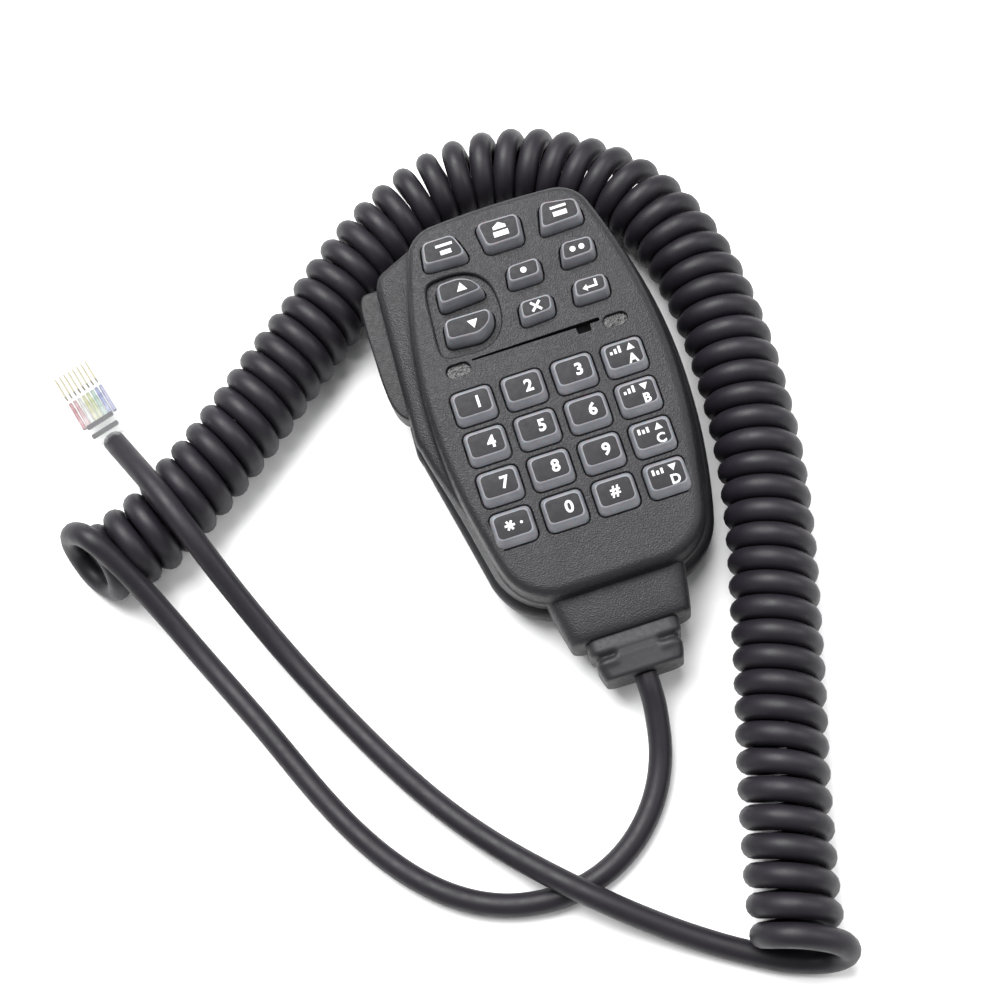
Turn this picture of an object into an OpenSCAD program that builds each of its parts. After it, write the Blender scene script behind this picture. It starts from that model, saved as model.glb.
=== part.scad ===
// Hand microphone with a keypad, a press-to-talk bar, a curly cord and a modular plug.
// It lies on its back: +Z leaves the keypad, +Y runs from the neck to the head.
// The origin is on the surface under the middle of the microphone without its cord.

/* [Case] */
// Radius of the case's long side curves, as seen from the front
side_r = 110; // [95:1:130]
// Radius of the two corners at the head
head_corner_r = 10; // [8:0.5:12]
// Radius of the two corners at the neck
neck_corner_r = 14; // [12:0.5:15]
// Height of the keypad face above the surface at the middle of the digit keys
face_z = 22.5; // [22:0.5:25]
// Slope of the keypad face, higher at the head
face_slope = 6; // [5:0.5:7]
// Thickness of the case walls
wall_t = 1.8; // [1.6:0.1:2]

/* [Keys] */
// Distance between digit keys across the face
key_pitch_x = 10.1; // [9.8:0.05:10.4]
// Distance between digit keys along the face
key_pitch_y = 8.37; // [8.3:0.01:8.6]
// How far a key sinks when it is pressed
key_travel = 0.8; // [0.5:0.1:0.8]
// How far the digit keys stand out of the face
digit_proud = 1.5; // [1.2:0.1:1.8]
// How far the function keys stand out of the face
function_proud = 2.3; // [1.8:0.1:2.6]
// Gap round each key in its hole
key_gap = 0.25; // [0.2:0.05:0.3]

/* [Press-to-talk bar] */
// Length of the bar
ptt_len = 28.4; // [27:0.2:29]
// Height of the bar
ptt_h = 6.4; // [6:0.2:6.8]
// How far the bar stands out of the case
ptt_proud = 3.7; // [3.3:0.1:3.9]

/* [Cord] */
// Diameter of the cord
cord_d = 4.4; // [4.2:0.1:4.6]
// Outer diameter of the curly part
coil_d = 17.5; // [16.5:0.1:17.6]

/* [Plug] */
// Width of the modular plug
plug_w = 11.7; // [11.6:0.05:11.7]
// Length of the modular plug
plug_len = 21.5; // [21:0.1:22]

/* [Hidden] */

// Places in the case
case_x = 2;
grid_y = -5;
slope_t = tan(face_slope);
parting_drop = 11;
parting_z = face_z - parting_drop / cos(face_slope);
shoulder_drop = 4.5;
panel_t = 1.8;
big = 200;

// Depths below the face, along its normal
flange_top = -panel_t - 0.25;
flange_t = 0.7;
plunger_z = -4.1;
dome_z = plunger_z - key_travel - 0.1;
mat_z = -6.2;
mat_t = 0.8;
board_t = 1.6;
board_z = mat_z - board_t;

// Screws, as [x, y] on the face
case_screw_at = [[-12, -23.5], [12, -23.5], [20.2, 31.5], [-20.4, 47.2]];
board_screw_at = [[0, -20.6], [-6.5, 20.8], [0, 50.3]];
case_screw_r = 1.3;
boss_r = 2.3;
board_boss_r = 1.7;
board_screw_r = 0.8;
eps = 0.01;

// Other features on the face
port_at = [9.7, 20.8];
lens_at = [15.9, 20.5];
lens_size = [4.9, 2.6];

// Press-to-talk bar, on the face's own axes
ptt_mid_y = 30.6;
ptt_mid_z = -11.9;
ptt_inner_x = -25.4;
ptt_pivot = [-25.6, 43.2];
ptt_pin_r = 0.75;
ptt_pin_clear = 0.05;
ptt_gap = 0.35;

// Neck and cord boot
neck_end_y = -41;
boot_end_y = -49;
cord_z = 8.5;
cord_r = cord_d / 2;
coil_r = coil_d / 2;

// Hanger slot in the back
hanger_at = [case_x, 20];
pocket_size = [18, 24];
pocket_depth = 5;
plate_t = 1.5;
slot_size = [7.4, 11];

// Plug, on its own axes: +Y towards the nose
plug_at = [-84.1, 28.6, 12.1];
plug_turn = 16;
plug_pitch = 9.5;
plug_half_h = 3.3;
contact_pitch = 1.02;
contact_count = 8;

// Digit keys, row by row from the head end
digit_names = [["key_1", "key_2", "key_3", "key_a"], ["key_4", "key_5", "key_6", "key_b"],
    ["key_7", "key_8", "key_9", "key_c"], ["key_star", "key_0", "key_hash", "key_d"]];
digit_size = [8.1, 6.9];

// Function keys: name, then the corners of the key's foot on the face
key_corners = [
    ["key_top_left", [[-16.3, 41.4], [-7.6, 40.9], [-7.1, 42.2], [-8.6, 46.8], [-15.5, 46.8]]],
    ["key_top_middle", [[-3.6, 41.0], [4.2, 41.0], [4.8, 46.9], [-4.3, 47.2]]],
    ["key_top_right", [[7.5, 41.1], [16.6, 41.4], [16.6, 46.0], [9.0, 47.4]]],
    ["key_up", [[-15.7, 32.6], [-6.5, 33.2], [-6.4, 34.2], [-7.8, 36.4], [-10.4, 37.8], [-15.3, 37.6]]],
    ["key_down", [[-16.5, 25.3], [-9.6, 24.7], [-7.2, 26.2], [-6.2, 28.0], [-6.3, 30.0], [-16.0, 30.2]]],
    ["key_f1", [[-1.8, 32.5], [5.4, 32.5], [5.8, 36.9], [-1.1, 36.8]]],
    ["key_f2", [[9.4, 33.3], [16.5, 33.5], [17.0, 37.7], [10.3, 38.1]]],
    ["key_clear", [[-1.6, 24.5], [5.4, 24.9], [5.9, 29.0], [-1.1, 29.1]]],
    ["key_enter", [[9.4, 25.3], [16.7, 25.3], [17.0, 29.6], [10.1, 29.8]]]];
well_corners = [[-18.3, 25.2], [-17.4, 23.4], [-9.4, 22.9], [-6.0, 25.0], [-4.4, 29.0],
    [-4.6, 35.0], [-6.8, 38.2], [-10.2, 39.6], [-16.6, 39.4], [-17.4, 37.0]];

// Route of the lead from the boot to the curly part
mic_lead_route = [[2, -49, 8.5], [2, -51, 8.5], [2, -56, 6.4], [2, -61, 3.2], [0, -66, 2.2],
    [-3, -71, 2.2], [-8, -77, 2.2], [-14, -81, 2.2], [-20, -83, 2.2], [-27, -83.5, 2.2],
    [-35, -82.5, 2.2], [-42, -79.5, 2.2], [-49, -74, 2.2], [-55, -67, 2.2], [-60, -59, 2.2],
    [-65, -49, 2.2], [-69, -39, 2.2], [-73, -30, 2.2], [-77, -22, 2.3], [-80.3, -15, 3],
    [-83, -8.3, 5.6], [-85.6, -2.9, 9.2], [-87.8, 1.9, 13.2], [-90.2, 5.5, 15.2]];
// Middle line of the curly part, from the microphone's lead to the plug's
coil_route = [[-97.6, 5.3], [-94, 6.6], [-90, 7.2], [-86, 8], [-81, 10], [-74, 14.5],
    [-66, 20], [-57, 27], [-48, 34.5], [-38, 42.5], [-28.5, 51], [-19, 57.5], [-8, 62.5],
    [3, 64], [13.5, 61.5], [23, 56], [31, 48], [36, 38], [38.5, 27], [39.3, 15], [38.8, 1],
    [37, -14], [33.8, -29], [29.5, -44], [25, -59], [20.5, -73], [17, -85], [14, -96], [12, -105]];
// Route of the lead from the curly part to the plug
plug_lead_route = [[18, -108.5, 2.2], [12, -107.5, 2.2], [5, -104, 2.2], [-3, -98.5, 2.2],
    [-10, -93.5, 3.2], [-16.5, -88.5, 6], [-22, -83.5, 7.1], [-28, -77.5, 6], [-34, -71, 3.2],
    [-41, -62.5, 2.2], [-48, -51.5, 2.2], [-54.5, -39.5, 2.2], [-60, -28.5, 2.4],
    [-64.5, -19, 4.4], [-68, -10.5, 8.8], [-71, -3, 14.2], [-73.5, 4, 18.6], [-75.5, 10.5, 20.2],
    [-77.8, 16, 19.4], [-80.4, 21.2, 16.6], [-82.5, 25, 13.2], [-85.2, 32.4, 11.4]];

// ---------- outlines ----------

// Points of an arc of n steps from angle a0 to a1
function arc(centre, r, a0, a1, n) =
    [for (i = [0:n]) let (a = a0 + (a1 - a0) * i / n) centre + r * [cos(a), sin(a)]];

side_c = 27 - side_r;
head_c = [side_c, 7] + (side_r - head_corner_r) * [cos(18.5), sin(18.5)];
neck_c = [side_c, 7] + (side_r - neck_corner_r) * [cos(-15.9), sin(-15.9)];
crown_r = 180;
crown_a = acos(head_c[0] / (crown_r - head_corner_r));
crown_c = [0, head_c[1] - (crown_r - head_corner_r) * sin(crown_a)];

// Right half of the case outline, moved in by an inset
function right_half(in) = concat(
    arc(neck_c, neck_corner_r - in, -86, -15.9, 7),
    arc([side_c, 7], side_r - in, -12, 15, 7),
    arc(head_c, head_corner_r - in, 18.5, crown_a, 6),
    [crown_c + (crown_r - in) * [0, 1]]);

// Left side of the plain outline, and of the one that holds the press-to-talk bar
function plain_left(in) = concat(
    arc([-head_c[0], head_c[1]], head_corner_r - in, 180 - crown_a, 161.5, 6),
    arc([-side_c, 7], side_r - in, 165, 192, 5),
    arc([-neck_c[0], neck_c[1]], neck_corner_r - in, 195.9, 266, 7));
function housing_left(in) = concat(
    arc([-head_c[0], head_c[1]], head_corner_r - in, 180 - crown_a, 120, 2),
    arc([-22.4, 38.6], max(4.8 - in, 0.4), 105, 174, 3),
    arc([-23.4, 7], max(5.4 - in, 0.4), 176, 205, 5),
    arc([-neck_c[0], neck_c[1]], neck_corner_r - in, 195.9, 266, 7));

// Case outline: share 0 is plain, share 1 has the press-to-talk housing
function plan(in, share) = concat(right_half(in),
    (1 - share) * plain_left(in) + share * housing_left(in));

// One ring of the case: its height rises with y by the given slope
function ring(in, share, z, slope) =
    [for (p = plan(in, share)) [p[0] + case_x, p[1], z + slope * (p[1] - grid_y)]];

// Solid through rings of equal length, closed at both ends
module loft(rings) {
    n = len(rings[0]);
    m = len(rings);
    sides = [for (k = [0:m - 2], i = [0:n - 1]) let (j = (i + 1) % n)
        each [[k * n + i, k * n + j, (k + 1) * n + j], [k * n + i, (k + 1) * n + j, (k + 1) * n + i]]];
    low_end = [for (i = [n - 1:-1:0]) i];
    high_end = [for (i = [0:n - 1]) (m - 1) * n + i];
    polyhedron([for (r = rings) each r], [for (f = concat(sides, [low_end, high_end]))
        [for (i = [len(f) - 1:-1:0]) f[i]]]);
}

// Rectangle with round corners made of true arcs, centred
module round_rect(size, r) {
    square([size[0] - 2 * r, size[1]], center = true);
    square([size[0], size[1] - 2 * r], center = true);
    for (x = [-1, 1], y = [-1, 1])
        translate([x * (size[0] / 2 - r), y * (size[1] / 2 - r)]) circle(r, $fn = 24);
}

// Moves its children onto the keypad face: z is 0 on the face
module on_face() {
    translate([case_x, grid_y, face_z]) rotate([face_slope, 0, 0]) children();
}

module above_parting() {
    on_face() translate([-big / 2, -big / 2, -parting_drop]) cube([big, big, big / 2]);
}

module below_parting() {
    on_face() translate([-big / 2, -big / 2, -parting_drop - big / 2]) cube([big, big, big / 2]);
}

// ---------- case ----------

// Outer or inner shape of the rear shell, from the back to the parting plane
module rear_form(in) {
    floor_z = in > 0 ? wall_t : 0;
    loft([ring(6.8 + in, 0.3, floor_z, 0), ring(4.2 + in, 0.5, floor_z + 1.2, 0),
        ring(2.2 + in, 0.8, floor_z + 3.2, 0.01), ring(0.9 + in, 1, 7, 0.04),
        ring(in, 1, parting_z + (in > 0 ? 0.02 : 0), slope_t)]);
}

// Outer shape of the front shell, from the parting plane to the face, and its hollow
module front_form(grow) {
    loft([ring(0.5 - grow, 1, parting_z, slope_t), ring(0.8 - grow, 1, face_z - 6.4, slope_t),
        ring(1.6 - grow, 0.94, face_z - shoulder_drop, slope_t),
        ring(2.3 - grow, 0, face_z - 3.9, slope_t), ring(2.6 - grow, 0, face_z - 1.6, slope_t),
        ring(3.2 - grow, 0, face_z - 0.5, slope_t), ring(4.2 - grow, 0, face_z, slope_t)]);
}

module front_hollow() {
    loft([ring(2.3, 1, parting_z - 0.1, slope_t), ring(2.6, 1, face_z - 8, slope_t),
        ring(3.4, 0.94, face_z - 6.2, slope_t), ring(3.6, 0, face_z - 5.6, slope_t),
        ring(3.8, 0, face_z - panel_t, slope_t)]);
}

// Tapered neck between the case and the cord boot
module neck_form(in) {
    hull() {
        translate([case_x, -28, 10]) rotate([90, 0, 0])
            linear_extrude(1) round_rect([29 - 2 * in, 13 - 2 * in], 2.4);
        translate([case_x, neck_end_y + 1 + (in > 0 ? wall_t : 0), 8.9]) rotate([90, 0, 0])
            linear_extrude(1) round_rect([24 - 2 * in, 12.4 - 2 * in], 2.4);
    }
}

module boot_hole() {
    translate([case_x, neck_end_y + 4, cord_z]) rotate([90, 0, 0])
        linear_extrude(8) round_rect([11, 7.6], 1.5);
}

module ptt_window() {
    on_face() translate([-26.6, ptt_mid_y, ptt_mid_z])
        cube([9, ptt_len + 2 * ptt_gap, ptt_h + 2 * ptt_gap], center = true);
}

module case_boss(top, bottom) {
    for (p = case_screw_at)
        on_face() translate([p[0], p[1], bottom]) cylinder(r = boss_r, h = top - bottom, $fn = 32);
}

// Foot of one function key or the well, grown by a margin
module corners_2d(points, grow) {
    offset(r = 0.9 + grow, $fn = 20) offset(delta = -0.9) polygon(points);
}

module digit_places() {
    for (row = [0:3], col = [0:3])
        translate([(col - 1.5) * key_pitch_x, (1.5 - row) * key_pitch_y, 0]) children();
}

module lens_2d(grow) {
    w = lens_size[0] + 2 * grow;
    h = lens_size[1] + 2 * grow;
    square([w - h, h], center = true);
    for (x = [-1, 1]) translate([x * (w - h) / 2, 0]) circle(h / 2, $fn = 32);
}

module face_openings() {
    on_face() {
        translate([0, 0, -panel_t - 1]) linear_extrude(panel_t + 2) {
            digit_places() round_rect(digit_size + 2 * key_gap * [1, 1], 1.4);
            for (k = key_corners) corners_2d(k[1], key_gap);
            translate(port_at) square([2.2, 1.3], center = true);
            for (x = [-1, 1]) translate([x * lens_at[0], lens_at[1]]) lens_2d(0.02);
        }
        translate([0, 0, -0.8]) linear_extrude(2) corners_2d(well_corners, 0);
        // Wedge-shaped groove between the function keys and the digit keys
        translate([0, 21.6, 0]) rotate([0, 90, 0]) scale([0.5, 1, 1])
            cylinder(r = 0.9, h = 24, center = true, $fn = 16);
    }
}

module front_case() {
    color("#3a3a3e") difference() {
        union() {
            difference() {
                union() {
                    front_form(0);
                    intersection() {
                        neck_form(0);
                        above_parting();
                    }
                }
                front_hollow();
                neck_form(wall_t);
            }
            intersection() {
                case_boss(-1, 0.1 - parting_drop);
                front_form(-0.9);
            }
            for (p = board_screw_at) on_face() translate([p[0], p[1], mat_z])
                cylinder(r = board_boss_r, h = -mat_z - 1, $fn = 32);
            on_face() translate([ptt_pivot[0], ptt_pivot[1], -8.2])
                cylinder(r = 1.6, h = 2.4, $fn = 32);
        }
        for (p = case_screw_at) on_face() translate([p[0], p[1], -parting_drop - 1])
            cylinder(r = 1, h = 8, $fn = 32);
        for (p = board_screw_at) on_face() translate([p[0], p[1], mat_z - 1])
            cylinder(r = 0.6, h = 4, $fn = 32);
        on_face() translate([ptt_pivot[0], ptt_pivot[1], -9])
            cylinder(r = ptt_pin_r, h = 2.2, $fn = 32);
        face_openings();
        ptt_window();
        boot_hole();
    }
}

module rear_case() {
    color("#303034") difference() {
        union() {
            difference() {
                union() {
                    rear_form(0);
                    intersection() {
                        neck_form(0);
                        below_parting();
                    }
                }
                rear_form(wall_t);
                neck_form(wall_t);
            }
            intersection() {
                case_boss(-parting_drop, -30);
                rear_form(0.5);
            }
            // Block round the hanger pocket
            translate([hanger_at[0], hanger_at[1], 1]) linear_extrude(pocket_depth + 0.8)
                round_rect(pocket_size + 2 * wall_t * [1, 1], 2);
            intersection() {
                on_face() translate([ptt_pivot[0], ptt_pivot[1], -18.5])
                    cylinder(r = 1.6, h = 2.9, $fn = 32);
                rear_form(0.5);
            }
            // Saddle under the inner cable
            translate([case_x - 6, -34, 1]) cube([12, 5, cord_z - 1]);
        }
        for (p = case_screw_at) on_face() translate([p[0], p[1], -30]) {
            cylinder(r = case_screw_r + 0.1, h = 30, $fn = 32);
            cylinder(r = 2.5, h = 30 - parting_drop - 5, $fn = 32);
        }
        translate([hanger_at[0], hanger_at[1], -1]) linear_extrude(pocket_depth + 1)
            difference() {
                round_rect(pocket_size, 1.2);
                translate([0, 7]) round_rect([pocket_size[0] + 1, 7], 1);
            }
        translate([hanger_at[0], hanger_at[1] + 7, -1]) linear_extrude(plate_t + 1.3)
            square([pocket_size[0], 7.2], center = true);
        for (x = [-1, 1]) translate([hanger_at[0] + x * 6, hanger_at[1] + 7.5, 1])
            cylinder(r = 0.8, h = 4.2, $fn = 24);
        translate([case_x, -20, cord_z]) rotate([90, 0, 0]) cylinder(r = cord_r, h = 20, $fn = 32);
        for (x = [-1, 1]) translate([case_x + x * 4.4, -31.5, cord_z - 5])
            cylinder(r = 0.8, h = 10, $fn = 24);
        on_face() translate([ptt_pivot[0], ptt_pivot[1], -17])
            cylinder(r = ptt_pin_r, h = 4, $fn = 32);
        ptt_window();
        boot_hole();
    }
}

// Screw with its head at z = 0 and its shank along +Z
module screw(head_r, head_h, shank_r, shank_l) {
    cylinder(r = head_r, h = head_h, $fn = 32);
    translate([0, 0, head_h - eps]) cylinder(r = shank_r, h = shank_l, $fn = 24);
}

module case_screws() {
    color("silver") for (p = case_screw_at)
        on_face() translate([p[0], p[1], -parting_drop - 6.4]) difference() {
            screw(2.3, 1.4, 1, 9.5);
            translate([0, 0, -eps]) cylinder(r = 0.9, h = 0.8, $fn = 4);
        }
}

module hanger_plate() {
    color("#222224") translate([hanger_at[0], hanger_at[1], 0.25]) difference() {
        linear_extrude(plate_t - 0.2) difference() {
            round_rect(pocket_size - [0.3, 0.3], 1);
            translate([0, -4]) round_rect(slot_size, 1);
        }
        for (x = [-1, 1]) translate([x * 6, 7.5, -1]) cylinder(r = 1.1, h = 4, $fn = 32);
        for (x = [-1, 1]) translate([x * 6, 7.5, -eps]) cylinder(r = 1.9, h = 0.7, $fn = 32);
    }
}

module hanger_screws() {
    color("silver") for (x = [-1, 1])
        translate([hanger_at[0] + x * 6, hanger_at[1] + 7.5, 0.3])
            screw(1.7, 0.6, 0.8, 4);
}

// ---------- keys ----------

// One digit key: foot on the face, sloped sides, flange and plunger under the face
module digit_key() {
    top = digit_size - [1.5, 1.9];
    hull() {
        translate([0, 0, -panel_t - 0.3]) linear_extrude(2.1) round_rect(digit_size, 1.2);
        translate([0, 0.15, digit_proud - 0.1]) linear_extrude(0.1) round_rect(top, 1);
    }
    translate([0, 0, flange_top - flange_t]) linear_extrude(flange_t)
        round_rect(digit_size + [0.7, 0.8], 2.2);
    translate([0, 0, plunger_z]) cylinder(r = 1.6, h = -plunger_z, $fn = 32);
}

// One function key from the corners of its foot
module function_key(points) {
    c = (min([for (p = points) p[0]]) + max([for (p = points) p[0]])) / 2;
    d = (min([for (p = points) p[1]]) + max([for (p = points) p[1]])) / 2;
    hull() {
        translate([0, 0, -panel_t - 0.3]) linear_extrude(2.1) corners_2d(points, 0);
        translate([0, 0.2, function_proud - 0.1]) linear_extrude(0.1)
            offset(delta = -0.8) corners_2d(points, 0);
    }
    translate([0, 0, flange_top - flange_t]) linear_extrude(flange_t)
        offset(delta = 0.4) corners_2d(points, 0);
    translate([c, d, plunger_z]) cylinder(r = 1.4, h = -plunger_z, $fn = 32);
}

module place_digit(row, col) {
    color("#77777c") on_face()
        translate([(col - 1.5) * key_pitch_x, (1.5 - row) * key_pitch_y, 0]) digit_key();
}

module place_function(i) {
    color("#77777c") on_face() function_key(key_corners[i][1]);
}

// ---------- inside ----------

module board_2d(in) {
    intersection() {
        polygon(plan(in, 0));
        translate([-30, -18]) square([60, 80]);
    }
}

// Board outline on the face's own axes
module board_outline() {
    difference() {
        translate([0, -grid_y]) board_2d(4.6);
        for (p = case_screw_at) translate(p) circle(boss_r + 0.4, $fn = 32);
        translate([ptt_pivot[0], ptt_pivot[1]]) circle(4.4, $fn = 32);
    }
}

module key_centres() {
    digit_places() children();
    for (k = key_corners) translate([
        (min([for (p = k[1]) p[0]]) + max([for (p = k[1]) p[0]])) / 2,
        (min([for (p = k[1]) p[1]]) + max([for (p = k[1]) p[1]])) / 2, 0]) children();
}

module keypad_mat() {
    color("#55565a") on_face() difference() {
        union() {
            translate([0, 0, mat_z]) linear_extrude(mat_t) difference() {
                board_outline();
                translate(port_at) circle(3.7, $fn = 32);
                for (x = [-1, 1]) translate([x * lens_at[0], lens_at[1]]) lens_2d(0.6);
                for (p = board_screw_at) translate(p) circle(board_boss_r + 0.2, $fn = 32);
            }
            translate([0, 0, mat_z + mat_t - eps]) key_centres()
                cylinder(r = 2.2, h = dome_z - mat_z - mat_t, $fn = 24);
        }
    }
}

module main_board() {
    color("#2c6b45") on_face() difference() {
        translate([0, 0, board_z]) linear_extrude(board_t) board_outline();
        for (p = board_screw_at) translate([p[0], p[1], board_z - 1])
            cylinder(r = board_screw_r + 0.1, h = board_t + 2, $fn = 32);
    }
}

module board_screws() {
    color("silver") for (p = board_screw_at)
        on_face() translate([p[0], p[1], board_z - 0.9]) screw(1.5, 0.88, 0.56, 4.4);
}

module controller_chip() {
    color("#1c1c1e") on_face() translate([0, 2, board_z - 0.55])
        cube([10, 10, 1.1], center = true);
}

module board_parts() {
    places = [[-10, 10], [-10, 5], [-10, 0], [10, 10], [10, 4], [10, -2], [6, 30], [-6, 32], [12, 38]];
    color("#a58a5c") for (p = places)
        on_face() translate([p[0], p[1], board_z - 0.4]) cube([2, 1.25, 0.8], center = true);
}

module board_connector() {
    color("ivory") on_face() translate([0, -13.5, board_z - 1.7]) difference() {
        cube([11, 4, 3.4], center = true);
        translate([0, -1, 0]) cube([9.4, 4, 2.2], center = true);
    }
}

// Eight wires from the cable to the connector
module inner_wires() {
    color("firebrick") for (i = [0:7]) {
        x = case_x + (i - 3.5) * 1.1;
        tube([[case_x + (i - 3.5) * 0.52, -28, cord_z], [x, -25, 9.6], [x, -22, 11.4]], 0.2, 6);
    }
}

module mic_capsule() {
    color("silver") on_face() translate([port_at[0], port_at[1], -5]) cylinder(r = 2.8, h = 2.7, $fn = 48);
}

module mic_boot() {
    color("#202022") on_face() translate([port_at[0], port_at[1], 0]) difference() {
        translate([0, 0, -5.3]) cylinder(r = 3.4, h = 5.3 - panel_t, $fn = 48);
        translate([0, 0, -6]) cylinder(r = 2.8, h = 3.7, $fn = 48);
        translate([0, 0, -3]) cylinder(r = 0.9, h = 3, $fn = 32);
    }
}

module indicator_lens(side) {
    color("#8d8f92") on_face() translate([side * lens_at[0], lens_at[1], 0]) {
        translate([0, 0, -panel_t - 0.9]) linear_extrude(panel_t + 0.5) lens_2d(0);
        translate([0, 0, -panel_t - 0.9]) linear_extrude(0.9) lens_2d(0.2);
    }
}

module indicator_leds() {
    color("khaki") for (x = [-1, 1])
        on_face() translate([x * lens_at[0], lens_at[1], mat_z + 0.4]) cube([1.6, 0.8, 0.78], center = true);
}

// ---------- press-to-talk ----------

module ptt_button() {
    y0 = ptt_mid_y - ptt_len / 2;
    y1 = ptt_mid_y + ptt_len / 2;
    outer = -27.3 - ptt_proud;
    color("#2b2b2f") on_face() difference() {
        translate([0, 0, ptt_mid_z - ptt_h / 2]) linear_extrude(ptt_h)
            polygon([[ptt_inner_x, y0], [outer + 3.4, y0], [outer + 1.8, y0 + 1.3],
                [outer + 0.8, y0 + 3.2], [outer + 0.2, y0 + 6], [outer, y0 + 10], [outer, y0 + 20],
                [outer + 0.3, y1 - 3], [outer + 0.8, y1 - 1], [outer + 1.7, y1],
                [ptt_pivot[0] + 2, y1], [ptt_pivot[0] + 2, y1 - 3.6], [ptt_inner_x, y1 - 4.2]]);
        translate([ptt_pivot[0], ptt_pivot[1], -20])
            cylinder(r = ptt_pin_r + ptt_pin_clear, h = 20, $fn = 32);
    }
}

module ptt_pin() {
    color("silver") on_face() translate([ptt_pivot[0], ptt_pivot[1], -16.6])
        cylinder(r = ptt_pin_r - eps, h = 9.6, $fn = 32);
}

module ptt_switch() {
    color("#1f1f22") on_face() translate([0, 20, board_z - 1.7]) {
        translate([-20.4, 0, 0]) cube([5.6, 6, 3.4], center = true);
        translate([-24.1, -0.8, -1]) cube([1, 1.6, 1.6]);
    }
}

// ---------- cord ----------

// Rubber boot: a tapered block outside the neck, a stem and a flange inside it
module cord_boot() {
    color("#29292c") difference() {
        union() {
            hull() {
                translate([case_x, neck_end_y, 8.6]) rotate([90, 0, 0])
                    linear_extrude(2) round_rect([18.4, 10.4], 2);
                translate([case_x, boot_end_y + 3, 8.4]) rotate([90, 0, 0])
                    linear_extrude(3) round_rect([15, 8.4], 1.8);
            }
            translate([case_x, neck_end_y + wall_t + 0.1, cord_z]) rotate([90, 0, 0])
                linear_extrude(wall_t + 0.2) round_rect([10.9, 7.5], 1.5);
            translate([case_x, neck_end_y + wall_t + 2, cord_z]) rotate([90, 0, 0])
                linear_extrude(1.9) round_rect([13, 7.8], 1.5);
        }
        translate([case_x, boot_end_y + 14, cord_z]) rotate([90, 0, 0])
            cylinder(r = cord_r, h = 20, $fn = 32);
        // Grips for the fingers on each side
        for (x = [-1, 1]) translate([case_x + x * 10, -45, 0]) cylinder(r = 2.2, h = 20, $fn = 32);
    }
}

module inner_cable() {
    color("#232326") translate([case_x, -28, cord_z]) rotate([90, 0, 0])
        cylinder(r = cord_r - eps, h = -28 - boot_end_y, $fn = 32);
}

module cord_clamp() {
    color("silver") translate([case_x, -31.5, cord_z]) difference() {
        translate([-6, -2, 0]) cube([12, 4, 3.4]);
        rotate([90, 0, 0]) cylinder(r = cord_r, h = 10, center = true, $fn = 32);
        for (x = [-1, 1]) translate([x * 4.4, 0, -1]) cylinder(r = 0.9, h = 10, $fn = 24);
    }
}

module clamp_screws() {
    color("gray") for (x = [-1, 1])
        translate([case_x + x * 4.4, -31.5, cord_z + 4.4]) rotate([180, 0, 0])
            screw(1.5, 1, 0.78, 7);
}

// Tube of round section swept along points, with a flat side underneath
function unit(v) = v / norm(v);
function heading(points, i) =
    unit(points[min(i + 1, len(points) - 1)] - points[max(i - 1, 0)]);
function tube_ring(points, i, r, sides) =
    let (t = heading(points, i), side = unit(cross(t, [0, 0, 1])), up = cross(side, t))
    [for (k = [0:sides - 1]) let (a = 360 * (k + 0.5) / sides)
        points[i] + r / cos(180 / sides) * (cos(a - 90) * side + sin(a - 90) * up)];

module tube(points, r, sides) {
    loft([for (i = [0:len(points) - 1]) tube_ring(points, i, r, sides)]);
}

module mic_lead() {
    color("#2e2e31") tube(mic_lead_route, cord_r, 8);
}

module cord_coil() {
    color("#2e2e31") tube([for (p = coil_route) [p[0], p[1], coil_r]], coil_r, 12);
}

module plug_lead() {
    color("#2e2e31") tube(plug_lead_route, cord_r, 8);
}

// ---------- plug ----------

module on_plug() {
    translate(plug_at) rotate([0, 0, plug_turn]) rotate([-plug_pitch, 0, 0]) children();
}

module plug_body() {
    color("#e8eef0", 0.5) on_plug() difference() {
        union() {
            translate([-plug_w / 2, 0, -plug_half_h]) cube([plug_w, plug_len, 2 * plug_half_h]);
            translate([-3.2, plug_len - 3, -plug_half_h - 0.35]) cube([6.4, 3, 1]);
        }
        // Mouth for the cord, tunnel for the wires, and the recess over the contacts
        translate([-2.9, -1, -2.4]) cube([5.8, 8.5, 4.8]);
        translate([-4.4, 7, -0.7]) cube([8.8, 13, 1.4]);
        translate([-4.4, plug_len - 6.6, 1.1]) cube([8.8, 5.6, 3]);
        translate([-3.6, 7.6, 1.9]) cube([7.2, 3.2, 2]);
    }
}

module plug_contacts() {
    color("gold") on_plug() for (i = [0:contact_count - 1])
        translate([(i - 3.5) * contact_pitch - 0.2, plug_len - 6.4, 1.1]) cube([0.4, 5.2, 1.7]);
}

module plug_wires() {
    color("orange") on_plug() for (i = [0:contact_count - 1])
        translate([(i - 3.5) * contact_pitch, 7.6, 0]) rotate([-90, 0, 0]) cylinder(r = 0.45, h = 12, $fn = 16);
}

module plug_latch() {
    color("#e8eef0", 0.5) on_plug() translate([0, plug_len - 0.6, -plug_half_h - 0.85]) rotate([16, 0, 0]) {
        translate([-3.1, -13.5, -0.35]) cube([6.2, 13.5, 0.7]);
        translate([-1.6, -17.5, -0.35]) cube([3.2, 4.2, 0.7]);
    }
}

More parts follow.
